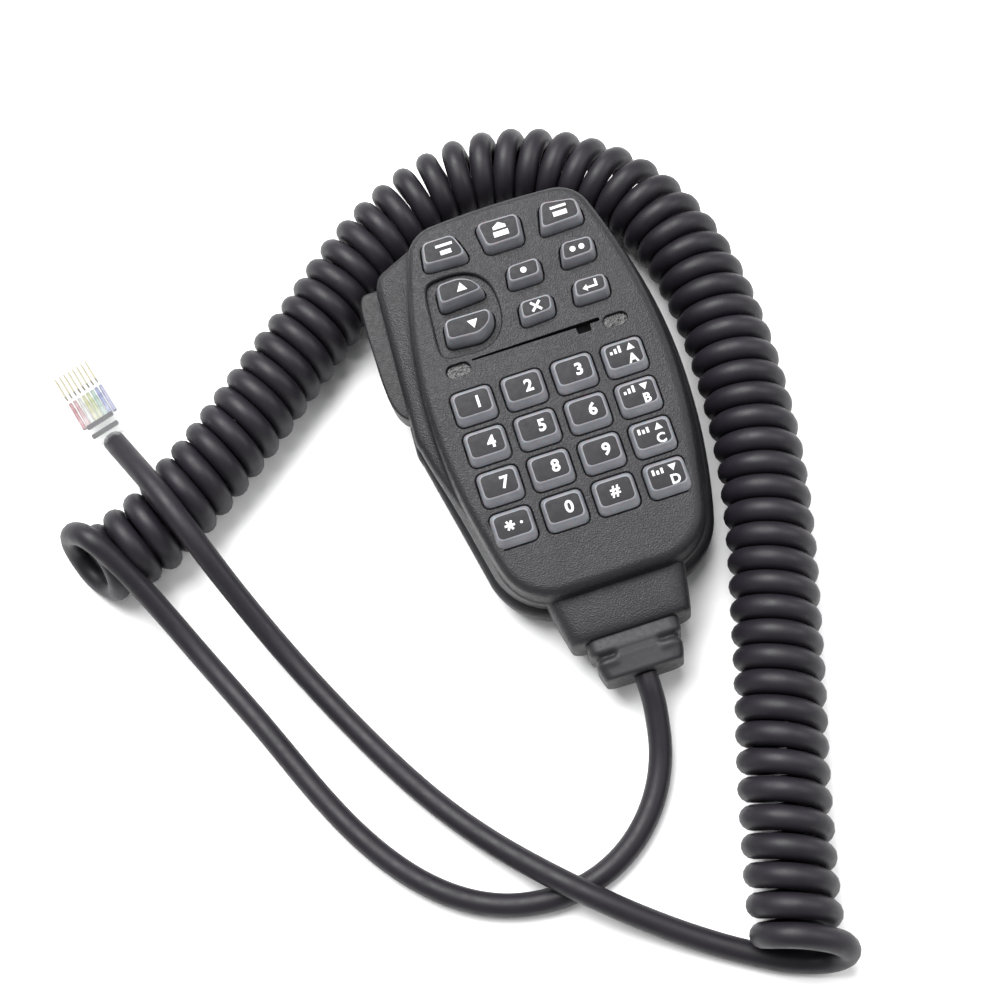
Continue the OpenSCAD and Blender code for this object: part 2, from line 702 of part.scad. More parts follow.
front_case();
rear_case();
case_screws();
hanger_plate();
hanger_screws();
keypad_mat();
main_board();
board_screws();
controller_chip();
board_parts();
board_connector();
inner_wires();
mic_capsule();
mic_boot();
indicator_lens(-1);  // indicator_lens_left
indicator_lens(1);  // indicator_lens_right
indicator_leds();
ptt_button();
ptt_pin();
ptt_switch();
cord_boot();
inner_cable();
cord_clamp();
clamp_screws();
for (row = [0:3], col = [0:3])
    place_digit(row, col);
for (i = [0:len(key_corners) - 1])
    place_function(i);
mic_lead();
cord_coil();
plug_lead();
plug_body();
plug_contacts();
plug_wires();
plug_latch();
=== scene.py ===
"""Looks of the hand microphone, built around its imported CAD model.

Shapes are worked out in millimetres. The cord is the exception: it is in metres, as in the frame.
"""

from math import acos, cos, degrees, exp, pi, radians, sin, tan

import bmesh
import bpy
from mathutils import Matrix, Vector, noise
from mathutils.geometry import delaunay_2d_cdt


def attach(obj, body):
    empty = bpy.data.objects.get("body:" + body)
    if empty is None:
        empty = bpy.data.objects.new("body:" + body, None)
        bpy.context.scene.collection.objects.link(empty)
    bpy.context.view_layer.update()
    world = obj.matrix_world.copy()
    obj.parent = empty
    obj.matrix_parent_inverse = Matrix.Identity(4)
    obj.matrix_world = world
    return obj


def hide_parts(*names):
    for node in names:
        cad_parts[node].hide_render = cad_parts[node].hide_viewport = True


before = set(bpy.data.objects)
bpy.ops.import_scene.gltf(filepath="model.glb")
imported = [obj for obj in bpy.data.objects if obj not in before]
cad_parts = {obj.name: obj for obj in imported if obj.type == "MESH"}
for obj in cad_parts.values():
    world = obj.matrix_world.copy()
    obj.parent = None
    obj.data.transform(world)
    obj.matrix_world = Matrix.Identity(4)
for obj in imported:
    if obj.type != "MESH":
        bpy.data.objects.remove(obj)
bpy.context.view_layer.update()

MM = 0.001
SCENE = bpy.context.scene
MICROPHONE = "microphone"

# Case, on the same driving values as the CAD shells
CASE_X = 2.0
GRID_Y = -5.0
FACE_Z = 22.5
SLOPE = radians(6)
SIDE_R = 110.0
HEAD_R = 10.0
NECK_R = 14.0
CROWN_R = 180.0
PARTING_DROP = 11.0 / cos(SLOPE)
PANEL_T = 1.8
FOOT_ANGLE = -86.0
NECK_ANGLE = -15.9
HEAD_ANGLE = 18.5
HOUSING_TOP = Vector((-22.4, 38.6))
HOUSING_LOW = Vector((-23.4, 7.0))
SIDE_CENTRE = Vector((27 - SIDE_R, 7))
# The raised panel's lower end reaches past the CAD panel's: by how much, from which height down,
# and at which drop below the face that fades out
PANEL_REACH = 1.8
REACH_FROM, REACH_OVER = -14, 14
REACH_DROP, REACH_FADE = 4.4, 4.5
# Heights between which the housing stands out from the left side, each with the length of its blend
HOUSING_FROM, HOUSING_RISE = -14, 18
HOUSING_TO, HOUSING_FALL = 42, 4
# Height from which a ring goes over to its lower inset, and the length of that blend
LOWER_FROM, LOWER_OVER = 20, 22
# Points down the left side above the press-to-talk window, along it and below it
LEFT_COUNTS = (40, 34, 60)

# Press-to-talk bar and its window, on the face's own axes
PTT_MID_Y = 30.6
PTT_MID_Z = -11.9
PTT_LEN = 28.4
PTT_H = 6.4
PTT_GAP = 0.35
PTT_OUTER = -31.0
PTT_INNER = -25.4
PTT_PIVOT_X = -25.6
PTT_EDGE = 0.5
RIB_DEPTH = 0.1
RIB_PITCH = 0.9

# Keys
KEY_PITCH = Vector((10.1, 8.37))
DIGIT_SIZE = (8.1, 6.9)
DIGIT_PROUD = 1.5
FUNCTION_PROUD = 2.3
KEY_GAP = 0.25
CAPTION_T = 0.04
# How a key narrows to its top on every side, and how far its top leans up the face
DIGIT_SQUEEZE, DIGIT_LEAN = 0.42, 0.28
FUNCTION_SQUEEZE, FUNCTION_LEAN = 0.5, 0.4
DIGIT_TOP_HEIGHT = 0.85
DIGITS = [["1", "2", "3", "a"], ["4", "5", "6", "b"], ["7", "8", "9", "c"], ["star", "0", "hash", "d"]]
FUNCTION_KEYS = {
    "key_top_left": [(-16.3, 41.4), (-7.6, 40.9), (-7.1, 42.2), (-8.6, 46.8), (-15.5, 46.8)],
    "key_top_middle": [(-3.6, 41.0), (4.2, 41.0), (4.8, 46.9), (-4.3, 47.2)],
    "key_top_right": [(7.5, 41.1), (16.6, 41.4), (16.6, 46.0), (9.0, 47.4)],
    "key_up": [(-15.7, 32.6), (-6.5, 33.2), (-6.4, 34.2), (-7.8, 36.4), (-10.4, 37.8), (-15.3, 37.6)],
    "key_down": [(-16.5, 25.3), (-9.6, 24.7), (-7.2, 26.2), (-6.2, 28.0), (-6.3, 30.0), (-16.0, 30.2)],
    "key_f1": [(-1.8, 32.5), (5.4, 32.5), (5.8, 36.9), (-1.1, 36.8)],
    "key_f2": [(9.4, 33.3), (16.5, 33.5), (17.0, 37.7), (10.3, 38.1)],
    "key_clear": [(-1.6, 24.5), (5.4, 24.9), (5.9, 29.0), (-1.1, 29.1)],
    "key_enter": [(9.4, 25.3), (16.7, 25.3), (17.0, 29.6), (10.1, 29.8)],
}
WELL = [(-18.3, 25.2), (-17.4, 23.4), (-9.4, 22.9), (-6.0, 25.0), (-4.4, 29.0),
        (-4.6, 35.0), (-6.8, 38.2), (-10.2, 39.6), (-16.6, 39.4), (-17.4, 37.0)]
WELL_DEPTH = 1.0
LENS_AT = (15.9, 20.5)
LENS_SIZE = (4.9, 2.6)
LENS_SUNK = 0.7
LENS_RIM_SUNK = 0.85
LENS_LUMP = 0.24
SLOT_DEPTH = 1.3
SLOT = [(-12.8, 21.45), (8.2, 21.3), (8.3, 19.9), (10.9, 19.9), (11.0, 21.3), (13.0, 21.3),
        (13.0, 21.95), (-12.8, 21.75)]

# Back: the hanger's pocket, and the case screws on the face's own axes
POCKET_SIZE = (18, 24)
POCKET_AT = (2, 20)
POCKET_DEPTH = 5
CASE_SCREWS = [(-12, -23.5), (12, -23.5), (20.2, 31.5), (-20.4, 47.2)]
RECESS_R = 2.5
RECESS_TOP = -16
# How far up the case the screws' heads lie from their place on the face, as their axes lean with it
HEAD_SHIFT = 1.8
# The back swells round the recesses of the two upper screws: wall left, half width and its blend
SWELL_WALL = 0.7
SWELL_HALF, SWELL_BLEND = 1.5, 8
SWELL_BEHIND = 9
# How far up the case it faces, and the share of the height it starts from and is whole after
SWELL_TURN = 0.35
SWELL_FOOT, SWELL_RISE = -0.05, 0.4

# Neck, as height along the case, width, depth and middle height
NECK_STATIONS = [
    (-29, 28.4, 12.9, 9.96), (-33, 27.0, 12.7, 9.65), (-36.5, 25.6, 12.2, 9.5), (-39, 24.6, 11.4, 9.5),
    (-40.2, 24.1, 10.8, 9.5), (-40.75, 23.7, 10.2, 9.45), (-41, 22.9, 9.4, 9.4)]
NECK_CORNER = 3.6

# Boot, as height along the case, width and depth
BOOT_PROFILE = [
    (-40.6, 17.6, 9.8), (-41.1, 18.3, 10.3), (-43.2, 18.1, 10.3), (-43.7, 17.7, 10.2),
    (-44.1, 16.4, 10.0), (-44.9, 16.0, 9.8), (-45.4, 16.6, 9.7), (-46.0, 16.9, 9.5),
    (-47.4, 16.3, 9.1), (-48.5, 15.6, 8.8), (-48.85, 15.2, 8.5), (-49, 14.4, 7.8)]
BOOT_CORNER = 2.4
BOOT_STEP = 0.22
BOOT_POINTS = 120
BOOT_AXIS_Z = 8.5
# Groove and swelling over each shoulder of the boot: height along the case, depth and half width
GROOVE_Y, GROOVE_DEPTH, GROOVE_HALF = -44.5, 0.75, 0.55
BULGE_Y, BULGE_DEPTH, BULGE_HALF = -46.0, 0.25, 0.7

# Cord, with the routes of part.scad in metres
CORD_R = 0.0022
COIL_R = 0.00875
COIL_TURNS = 61
COIL_START = 0.0086
COIL_END = 0.0016
COIL_STEP = 0.0005
POINTS_PER_TURN = 36
# Length along the coil from one turn to the next, and how much of a bend's opening goes into it
COIL_PITCH = 0.0048
BEND_SHARE = 0.35
# The coil is looser near its last end and tighter at its first turns
LOOSER, LOOSER_FROM, LOOSER_OVER = 0.00035, 0.82, 0.12
TIGHTER, TIGHTER_STEPS = 0.0003, 45
# Turns over which the helix goes over from the first turn's heading to its route's own
TURNS_TO_ROUTE = 11
FIRST_CENTRE = Vector((-0.0957, 0.0062, COIL_R))
FIRST_ALONG = Vector((0.87, 0.49, 0))
FIRST_R = 0.0073
STRAND_SWELL = 1.06
LEAD_SWELL = 1.02
# Along the coil and upwards in mm, at every eighth of the first turn
FIRST_TURN = [(4.4, 2.4), (3.1, 0.9), (1.6, 0), (0.3, 0), (-0.4, 0), (0.5, 0), (2.0, 0), (3.7, -1.0),
              (5.0, -2.2), (5.8, -0.8)]
LAST_CURL = [(0.0168, -0.1054, 0.0140), (0.0202, -0.1071, 0.0104), (0.0208, -0.1083, 0.0068),
             (0.0190, -0.1088, 0.0036), (0.0155, -0.1081, 0.0022)]
CORD_STEP = 0.001
FIRST_STEP = 0.0008
# Points of the lead redrawn with the first turn, of the last curl left as drawn, cut off at the plug,
# and of the last curl before the cord thins to the lead
LEAD_JOIN = 12
TAIL_JOIN = 26
PLUG_CUT = 3
CURL_POINTS = 30
# Points that each change of the cord's thickness takes
SWELL_POINTS = 20
TIGHTEST_BEND = 0.0036
MIC_LEAD_ROUTE = [
    (0.002, -0.049, 0.0085), (0.002, -0.051, 0.0085), (0.002, -0.056, 0.0064), (0.002, -0.061, 0.0032),
    (0, -0.066, 0.0022), (-0.003, -0.071, 0.0022), (-0.008, -0.077, 0.0022), (-0.014, -0.081, 0.0022),
    (-0.02, -0.083, 0.0022), (-0.027, -0.0835, 0.0022), (-0.035, -0.0825, 0.0022),
    (-0.042, -0.0795, 0.0022), (-0.049, -0.074, 0.0022), (-0.055, -0.067, 0.0022),
    (-0.06, -0.059, 0.0022), (-0.065, -0.049, 0.0022), (-0.069, -0.039, 0.0022),
    (-0.073, -0.03, 0.0022), (-0.077, -0.022, 0.0023), (-0.0803, -0.015, 0.003),
    (-0.083, -0.0083, 0.0056), (-0.0856, -0.0029, 0.0092), (-0.0878, 0.0019, 0.0132),
    (-0.0902, 0.0055, 0.0152)]
COIL_ROUTE = [
    (-0.0976, 0.0053), (-0.094, 0.0066), (-0.09, 0.0072), (-0.086, 0.008), (-0.081, 0.01),
    (-0.074, 0.0145), (-0.066, 0.02), (-0.057, 0.027),
    (-0.048, 0.0345), (-0.038, 0.0425), (-0.0285, 0.051), (-0.019, 0.0575), (-0.008, 0.0625),
    (0.003, 0.064), (0.0135, 0.0615), (0.023, 0.056), (0.031, 0.048), (0.036, 0.038), (0.0385, 0.027),
    (0.0393, 0.015), (0.0388, 0.001), (0.037, -0.014), (0.0338, -0.029), (0.0295, -0.044),
    (0.025, -0.059), (0.0205, -0.073), (0.017, -0.085), (0.014, -0.096), (0.012, -0.105)]
PLUG_LEAD_ROUTE = [
    (0.018, -0.1085, 0.0022), (0.012, -0.1075, 0.0022), (0.005, -0.104, 0.0022), (-0.003, -0.0985, 0.0022),
    (-0.01, -0.0935, 0.0032), (-0.0165, -0.0885, 0.006), (-0.022, -0.0835, 0.0071),
    (-0.028, -0.0775, 0.006), (-0.034, -0.071, 0.0032), (-0.041, -0.0625, 0.0022),
    (-0.048, -0.0515, 0.0022), (-0.0545, -0.0395, 0.0022), (-0.06, -0.0285, 0.0024),
    (-0.0645, -0.019, 0.0044), (-0.068, -0.0105, 0.0088), (-0.071, -0.003, 0.0142),
    (-0.0735, 0.004, 0.0186), (-0.0755, 0.0105, 0.0202), (-0.0778, 0.016, 0.0194),
    (-0.0804, 0.0212, 0.0166), (-0.0825, 0.025, 0.0132), (-0.0852, 0.0324, 0.0114)]

# Plug, on its own axes with +Y towards the nose
PLUG_AT = (-84.1, 28.6, 12.1)
PLUG_TURN = 16.0
PLUG_PITCH = 9.5
CONTACT_PITCH = 1.02
WIRE_R = 0.45
WIRE_AT = (7.6, 9.5, 12, 15)
CRIMPS_AT = (3.0, 5.6)
CRIMP_SIZE = (6.0, 1.1)
CRIMP_LOW, CRIMP_HIGH = 2.1, 2.4
WIRE_COLOURS = [
    ("red", (0.20, 0.045, 0.055)), ("pink", (0.24, 0.12, 0.13)), ("white", (0.28, 0.28, 0.27)),
    ("yellow", (0.24, 0.24, 0.10)), ("lime", (0.20, 0.23, 0.09)), ("green", (0.13, 0.21, 0.17)),
    ("blue", (0.07, 0.09, 0.22)), ("violet", (0.12, 0.12, 0.22))]


# ---------- camera ----------

def make_camera():
    elevation, azimuth, roll = radians(69.7), radians(-91.12), radians(-16.9)
    distance, lens = 0.3632, 64.8
    target = Vector((-0.01385, -0.00352, 0))
    back = Vector((cos(elevation) * cos(azimuth), cos(elevation) * sin(azimuth), sin(elevation)))
    right = Vector((0, 0, 1)).cross(back).normalized()
    up = back.cross(right)
    side = right * cos(roll) + up * sin(roll)
    top = up * cos(roll) - right * sin(roll)
    data = bpy.data.cameras.new("camera")
    data.lens = lens
    data.clip_start = 0.01
    camera = bpy.data.objects.new("camera", data)
    turn = Matrix((side, top, back)).transposed().to_4x4()
    camera.matrix_world = Matrix.Translation(target + back * distance) @ turn
    SCENE.collection.objects.link(camera)
    SCENE.camera = camera


# ---------- materials ----------

class Nodes:
    """A material's node tree, with short calls for the few nodes that are used here."""

    def __init__(self, name):
        self.material = bpy.data.materials.new(name)
        self.material.use_nodes = True
        self.tree = self.material.node_tree
        self.shader = self.tree.nodes["Principled BSDF"]
        self.place = self.add("ShaderNodeTexCoord").outputs["Object"]

    def add(self, kind, **values):
        node = self.tree.nodes.new(kind)
        for key, value in values.items():
            node.inputs[key.replace("_", " ")].default_value = value
        return node

    def link(self, out, into):
        self.tree.links.new(out, into)

    def noise(self, per_mm, detail=2.0, rough=0.5):
        node = self.add("ShaderNodeTexNoise", Scale=per_mm / MM, Detail=detail, Roughness=rough)
        self.link(self.place, node.inputs["Vector"])
        return node.outputs["Fac"]

    def cells(self, per_mm, smooth=0.6):
        node = self.add("ShaderNodeTexVoronoi", Scale=per_mm / MM)
        node.feature = "SMOOTH_F1"
        node.inputs["Smoothness"].default_value = smooth
        self.link(self.place, node.inputs["Vector"])
        return node.outputs["Distance"]

    def ramp(self, factor, low, high, start=0.3, end=0.7):
        node = self.tree.nodes.new("ShaderNodeValToRGB")
        node.color_ramp.elements[0].position, node.color_ramp.elements[1].position = start, end
        node.color_ramp.elements[0].color, node.color_ramp.elements[1].color = (*low, 1), (*high, 1)
        self.link(factor, node.inputs["Fac"])
        return node.outputs["Color"]

    def spread(self, factor, low, high):
        node = self.add("ShaderNodeMapRange", From_Min=0.3, From_Max=0.7, To_Min=low, To_Max=high)
        self.link(factor, node.inputs["Value"])
        return node.outputs["Result"]

    def bump(self, height, depth_mm, below=None):
        node = self.add("ShaderNodeBump", Strength=1.0, Distance=depth_mm * MM)
        self.link(height, node.inputs["Height"])
        if below:
            self.link(below, node.inputs["Normal"])
        return node.outputs["Normal"]


def plastic(name, low, high, rough, pebble=None, grain=(6.0, 0.01), patch=0.12, **sockets):
    """A moulded or painted surface: tone and gloss drift, with fine grain and perhaps pebbles."""
    n = Nodes(name)
    n.link(n.ramp(n.noise(patch, 3), low, high), n.shader.inputs["Base Color"])
    n.link(n.spread(n.noise(patch * 9, 3), rough - 0.06, rough + 0.06), n.shader.inputs["Roughness"])
    normal = n.bump(n.noise(grain[0], 3), grain[1])
    if pebble:
        normal = n.bump(n.cells(pebble[0]), pebble[1], normal)
    n.link(normal, n.shader.inputs["Normal"])
    for key, value in sockets.items():
        n.shader.inputs[key.replace("_", " ")].default_value = value
    return n.material


def metal(name, low, high, rough, streak=1.5):
    n = Nodes(name)
    n.shader.inputs["Metallic"].default_value = 1.0
    n.link(n.ramp(n.noise(0.8, 4), low, high), n.shader.inputs["Base Color"])
    n.link(n.spread(n.noise(streak, 5), rough - 0.08, rough + 0.1), n.shader.inputs["Roughness"])
    n.link(n.bump(n.noise(streak * 4, 4), 0.01), n.shader.inputs["Normal"])
    return n.material


def clear_plastic(name):
    """Clear polycarbonate, thin enough to be hardly there, with a faint haze and flow marks."""
    n = Nodes(name)
    n.shader.inputs["Alpha"].default_value = 0.08
    n.shader.inputs["Coat Weight"].default_value = 0.6
    n.link(n.ramp(n.noise(0.2), (0.86, 0.88, 0.88), (0.95, 0.96, 0.96)), n.shader.inputs["Base Color"])
    n.link(n.spread(n.noise(0.5, 3), 0.06, 0.16), n.shader.inputs["Roughness"])
    n.link(n.bump(n.noise(0.35, 2), 0.03), n.shader.inputs["Normal"])
    return n.material


PLASTICS = {
    "case_front": ((0.0115, 0.0112, 0.0130), (0.0160, 0.0156, 0.0178), 0.46,
                   dict(pebble=(3.6, 0.09), grain=(8.0, 0.02), Specular_IOR_Level=0.28)),
    "case_rear": ((0.0100, 0.0098, 0.0115), (0.0140, 0.0137, 0.0160), 0.5,
                  dict(pebble=(4.2, 0.05), grain=(8.0, 0.015), Specular_IOR_Level=0.3)),
    "button": ((0.0080, 0.0078, 0.0092), (0.0110, 0.0107, 0.0125), 0.48,
               dict(pebble=(3.6, 0.06), Specular_IOR_Level=0.28)),
    "rubber": ((0.0140, 0.0137, 0.0155), (0.0190, 0.0186, 0.0210), 0.5,
               dict(grain=(4.0, 0.03), Specular_IOR_Level=0.3)),
    "cord": ((0.0070, 0.0058, 0.0088), (0.0110, 0.0094, 0.0135), 0.5,
             dict(grain=(3.0, 0.02), patch=0.05, Specular_IOR_Level=0.3)),
    "skirt": ((0.150, 0.153, 0.170), (0.195, 0.20, 0.217), 0.45,
              dict(grain=(3.0, 0.01), patch=0.3, Subsurface_Weight=0.3, Subsurface_Scale=0.001,
                   Specular_IOR_Level=0.2)),
    "key_top": ((0.0110, 0.0106, 0.0125), (0.0145, 0.0139, 0.0165), 0.5,
                dict(grain=(9.0, 0.008), Specular_IOR_Level=0.2)),
    "legend": ((0.50, 0.50, 0.51), (0.58, 0.58, 0.59), 0.5, {}),
    "lens": ((0.004, 0.004, 0.004), (0.045, 0.046, 0.045), 0.3,
             dict(grain=(2.0, 0.2), patch=1.6, Specular_IOR_Level=0.35)),
    # Near-black painted shade for the floor of the narrow slot across the face, not a colour the plastic has
    "hollow": ((0.001, 0.001, 0.001), (0.002, 0.002, 0.002), 0.9, dict(Specular_IOR_Level=0.1)),
    "contact": ((0.24, 0.22, 0.15), (0.30, 0.28, 0.20), 0.45, {}),
    "black_steel": ((0.012, 0.012, 0.013), (0.024, 0.024, 0.026), 0.32, dict(grain=(2.0, 0.03))),
    "board": ((0.010, 0.10, 0.035), (0.02, 0.17, 0.06), 0.3, dict(patch=0.5)),
    "chip": ((0.012, 0.012, 0.012), (0.022, 0.022, 0.022), 0.55, {}),
    "parts": ((0.28, 0.19, 0.10), (0.46, 0.34, 0.20), 0.5, dict(patch=0.6)),
    "nylon": ((0.62, 0.60, 0.50), (0.74, 0.71, 0.62), 0.4, {}),
    "silicone": ((0.16, 0.16, 0.17), (0.22, 0.22, 0.23), 0.6, {}),
    "led": ((0.6, 0.55, 0.3), (0.8, 0.76, 0.5), 0.15, {}),
}


def make_materials():
    made = {name: plastic(name, *look, **more) for name, (*look, more) in PLASTICS.items()}
    made["clear"] = clear_plastic("clear")
    made["steel"] = metal("steel", (0.50, 0.50, 0.52), (0.66, 0.66, 0.68), 0.32)
    return made


def wire_material(name, colour):
    return plastic("wire_" + name, tuple(0.8 * c for c in colour), colour, 0.35, patch=0.8)


# ---------- mesh building ----------

class Shape:
    """Points in millimetres and faces, gathered and then built as one object."""

    def __init__(self):
        self.points, self.faces, self.slots = [], [], []

    def loft(self, rings, slot=0, closed=True):
        base, n = len(self.points), len(rings[0])
        for ring in rings:
            self.points += [Vector(p) for p in ring]
        for k in range(len(rings) - 1):
            for i in range(n if closed else n - 1):
                j = (i + 1) % n
                low, high = base + k * n, base + (k + 1) * n
                self.faces.append((low + i, low + j, high + j, high + i))
                self.slots.append(slot)

    def cap(self, ring, slot=0):
        base = len(self.points)
        self.points += [Vector(p) for p in ring]
        self.faces.append(tuple(range(base, base + len(ring))))
        self.slots.append(slot)

    def patch(self, outer, holes, place, slot=0):
        """Flat triangles between an outer loop and the holes in it; place turns [x, y] into a point."""
        flat, edges = [], []
        for loop in [outer, *holes]:
            base = len(flat)
            flat += [Vector((p[0], p[1])) for p in loop]
            edges += [(base + i, base + (i + 1) % len(loop)) for i in range(len(loop))]
        points, _, triangles = delaunay_2d_cdt(flat, edges, [], 1, 1e-5)[:3]
        base = len(self.points)
        self.points += [place(p) for p in points]
        for t in triangles:
            middle = sum((points[i] for i in t), Vector((0, 0))) / 3
            if inside(middle, outer) and not any(inside(middle, hole) for hole in holes):
                self.faces.append(tuple(base + i for i in t))
                self.slots.append(slot)

    def solid(self, rings, slot=0):
        self.loft(rings, slot)
        self.cap(rings[0], slot)
        self.cap(rings[-1], slot)

    def prism(self, outline, low, high, place, slot=0):
        self.solid([[place((p[0], p[1], z)) for p in outline] for z in (low, high)], slot)

    def build(self, name, materials, sharp=35, weld=0.002):
        mesh = bpy.data.meshes.new(name)
        mesh.from_pydata([p * MM for p in self.points], [], self.faces)
        for material in materials:
            mesh.materials.append(material)
        mesh.polygons.foreach_set("material_index", self.slots)
        work = bmesh.new()
        work.from_mesh(mesh)
        bmesh.ops.remove_doubles(work, verts=work.verts, dist=weld * MM)
        bmesh.ops.dissolve_degenerate(work, edges=work.edges, dist=weld * MM)
        bmesh.ops.recalc_face_normals(work, faces=work.faces)
        work.to_mesh(mesh)
        work.free()
        mesh.polygons.foreach_set("use_smooth", [True] * len(mesh.polygons))
        mesh.set_sharp_from_angle(angle=radians(sharp))
        piece = bpy.data.objects.new(name, mesh)
        SCENE.collection.objects.link(piece)
        return piece


def settle(piece, body, slot, *nodes):
    """Puts a finished piece on its body, in place of its CAD nodes."""
    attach(piece, body)
    if nodes:
        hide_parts(*nodes)
    return piece


def inside(point, loop):
    odd = False
    for i, a in enumerate(loop):
        b = loop[i - 1]
        if (a[1] > point[1]) != (b[1] > point[1]):
            if point[0] < (b[0] - a[0]) * (point[1] - a[1]) / (b[1] - a[1]) + a[0]:
                odd = not odd
    return odd


FACE = Matrix.Translation((CASE_X, GRID_Y, FACE_Z)) @ Matrix.Rotation(SLOPE, 4, "X")


def on_face(p):
    """A point on the keypad face's own axes, z = 0 on the face, as a point in the frame."""
    return FACE @ Vector((p[0], p[1], p[2] if len(p) > 2 else 0))


def face_ring(loop, z):
    return [on_face((p[0], p[1], z)) for p in loop]


def ease(t):
    t = min(max(t, 0), 1)
    return t * t * (3 - 2 * t)


def quarter(steps):
    """Steps round an edge, as the shares that are left to go sideways and gone downwards."""
    angles = [radians(90 * k / steps) for k in range(1, steps + 1)]
    return [(1 - sin(a), 1 - cos(a)) for a in angles]


def rounded(corners, radius, steps=5):
    """A closed outline with every corner rounded, as far as its edges allow."""
    corners = [Vector(c) for c in corners]
    out = []
    for i, corner in enumerate(corners):
        before, after = corners[i - 1] - corner, corners[(i + 1) % len(corners)] - corner
        start = corner + before.normalized() * min(radius, 0.48 * before.length)
        end = corner + after.normalized() * min(radius, 0.48 * after.length)
        for k in range(steps + 1):
            t = k / steps
            out.append(start * (1 - t) ** 2 + corner * 2 * t * (1 - t) + end * t * t)
    return out


def box_outline(size, radius, centre=(0, 0), steps=5):
    w, h = size[0] / 2, size[1] / 2
    x, y = centre
    return rounded([(x - w, y - h), (x + w, y - h), (x + w, y + h), (x - w, y + h)], radius, steps)


def oval(size, centre, steps=10):
    """An outline with straight sides and round ends."""
    half = (size[0] - size[1]) / 2
    return [Vector((centre[0] + side * half + size[1] / 2 * cos(a), centre[1] + size[1] / 2 * sin(a)))
            for side, start in ((1, -90), (-1, 90)) for k in range(steps + 1)
            for a in (radians(start + 180 * k / steps),)]


def disc(r, x=0, y=0, steps=16):
    return [(x + r * cos(2 * pi * k / steps), y + r * sin(2 * pi * k / steps)) for k in range(steps)]


def grown(loop, by):
    """A closed outline moved out by a distance, along its normals."""
    out = []
    for i, p in enumerate(loop):
        tangent = (loop[(i + 1) % len(loop)] - loop[i - 1]).normalized()
        out.append(p + by * Vector((tangent.y, -tangent.x)))
    return out


def shrunk(loop, by):
    """A closed outline scaled about its middle, by the same distance on every side."""
    low = Vector((min(p.x for p in loop), min(p.y for p in loop)))
    high = Vector((max(p.x for p in loop), max(p.y for p in loop)))
    middle, size = (low + high) / 2, high - low
    return [Vector((middle.x + (p.x - middle.x) * (1 - 2 * by / size.x),
                    middle.y + (p.y - middle.y) * (1 - 2 * by / size.y))) for p in loop]


def resampled(points, count):
    lengths = [0]
    for a, b in zip(points, points[1:]):
        lengths.append(lengths[-1] + (b - a).length)
    out, k = [], 0
    for i in range(count):
        along = lengths[-1] * i / (count - 1)
        while k < len(points) - 2 and lengths[k + 1] < along:
            k += 1
        span = lengths[k + 1] - lengths[k]
        out.append(points[k].lerp(points[k + 1], (along - lengths[k]) / span if span else 0))
    return out


def split_at(points, level):
    """A line cut where it first falls past y = level."""
    for i, (a, b) in enumerate(zip(points, points[1:])):
        if b.y < level <= a.y:
            cut = a.lerp(b, (a.y - level) / (a.y - b.y))
            return points[:i + 1] + [cut], [cut] + points[i + 1:]


def smooth_path(points, step):
    """Points about a step apart on a smooth curve through the given ones."""
    points = [Vector(p) for p in points]
    padded = [2 * points[0] - points[1], *points, 2 * points[-1] - points[-2]]
    out = []
    for a, b, c, d in zip(padded, padded[1:], padded[2:], padded[3:]):
        count = max(2, round((c - b).length / step))
        for k in range(count):
            t = k / count
            out.append(0.5 * (2 * b + (c - a) * t + (2 * a - 5 * b + 4 * c - d) * t ** 2
                              + (3 * b - 3 * c + d - a) * t ** 3))
    return [*out, points[-1]]


# ---------- cord ----------

def eased(points, reach):
    """A line with its corners drawn in; the two ends stay where they are."""
    for _ in range(2):
        line = []
        for i in range(len(points)):
            near = min(reach, i, len(points) - 1 - i)
            window = points[i - near:i + near + 1]
            line.append(sum(window, Vector((0, 0, 0))) / len(window))
        points = line
    return points


def evenly(points, step):
    points = [Vector(p) for p in points]
    length = sum((b - a).length for a, b in zip(points, points[1:]))
    return resampled(points, max(2, round(length / step)))


def first_turn():
    """The loose turn at the microphone's end, which the lead runs over."""
    along = FIRST_ALONG.normalized()
    across = Vector((0, 0, 1)).cross(along)
    out = []
    for k, (offset, lift) in enumerate(FIRST_TURN):
        angle = radians(45 * k)
        out.append(FIRST_CENTRE + along * offset * MM + across * FIRST_R * sin(angle)
                   + Vector((0, 0, (COIL_R - CORD_R) * cos(angle) + lift * MM)))
    return out


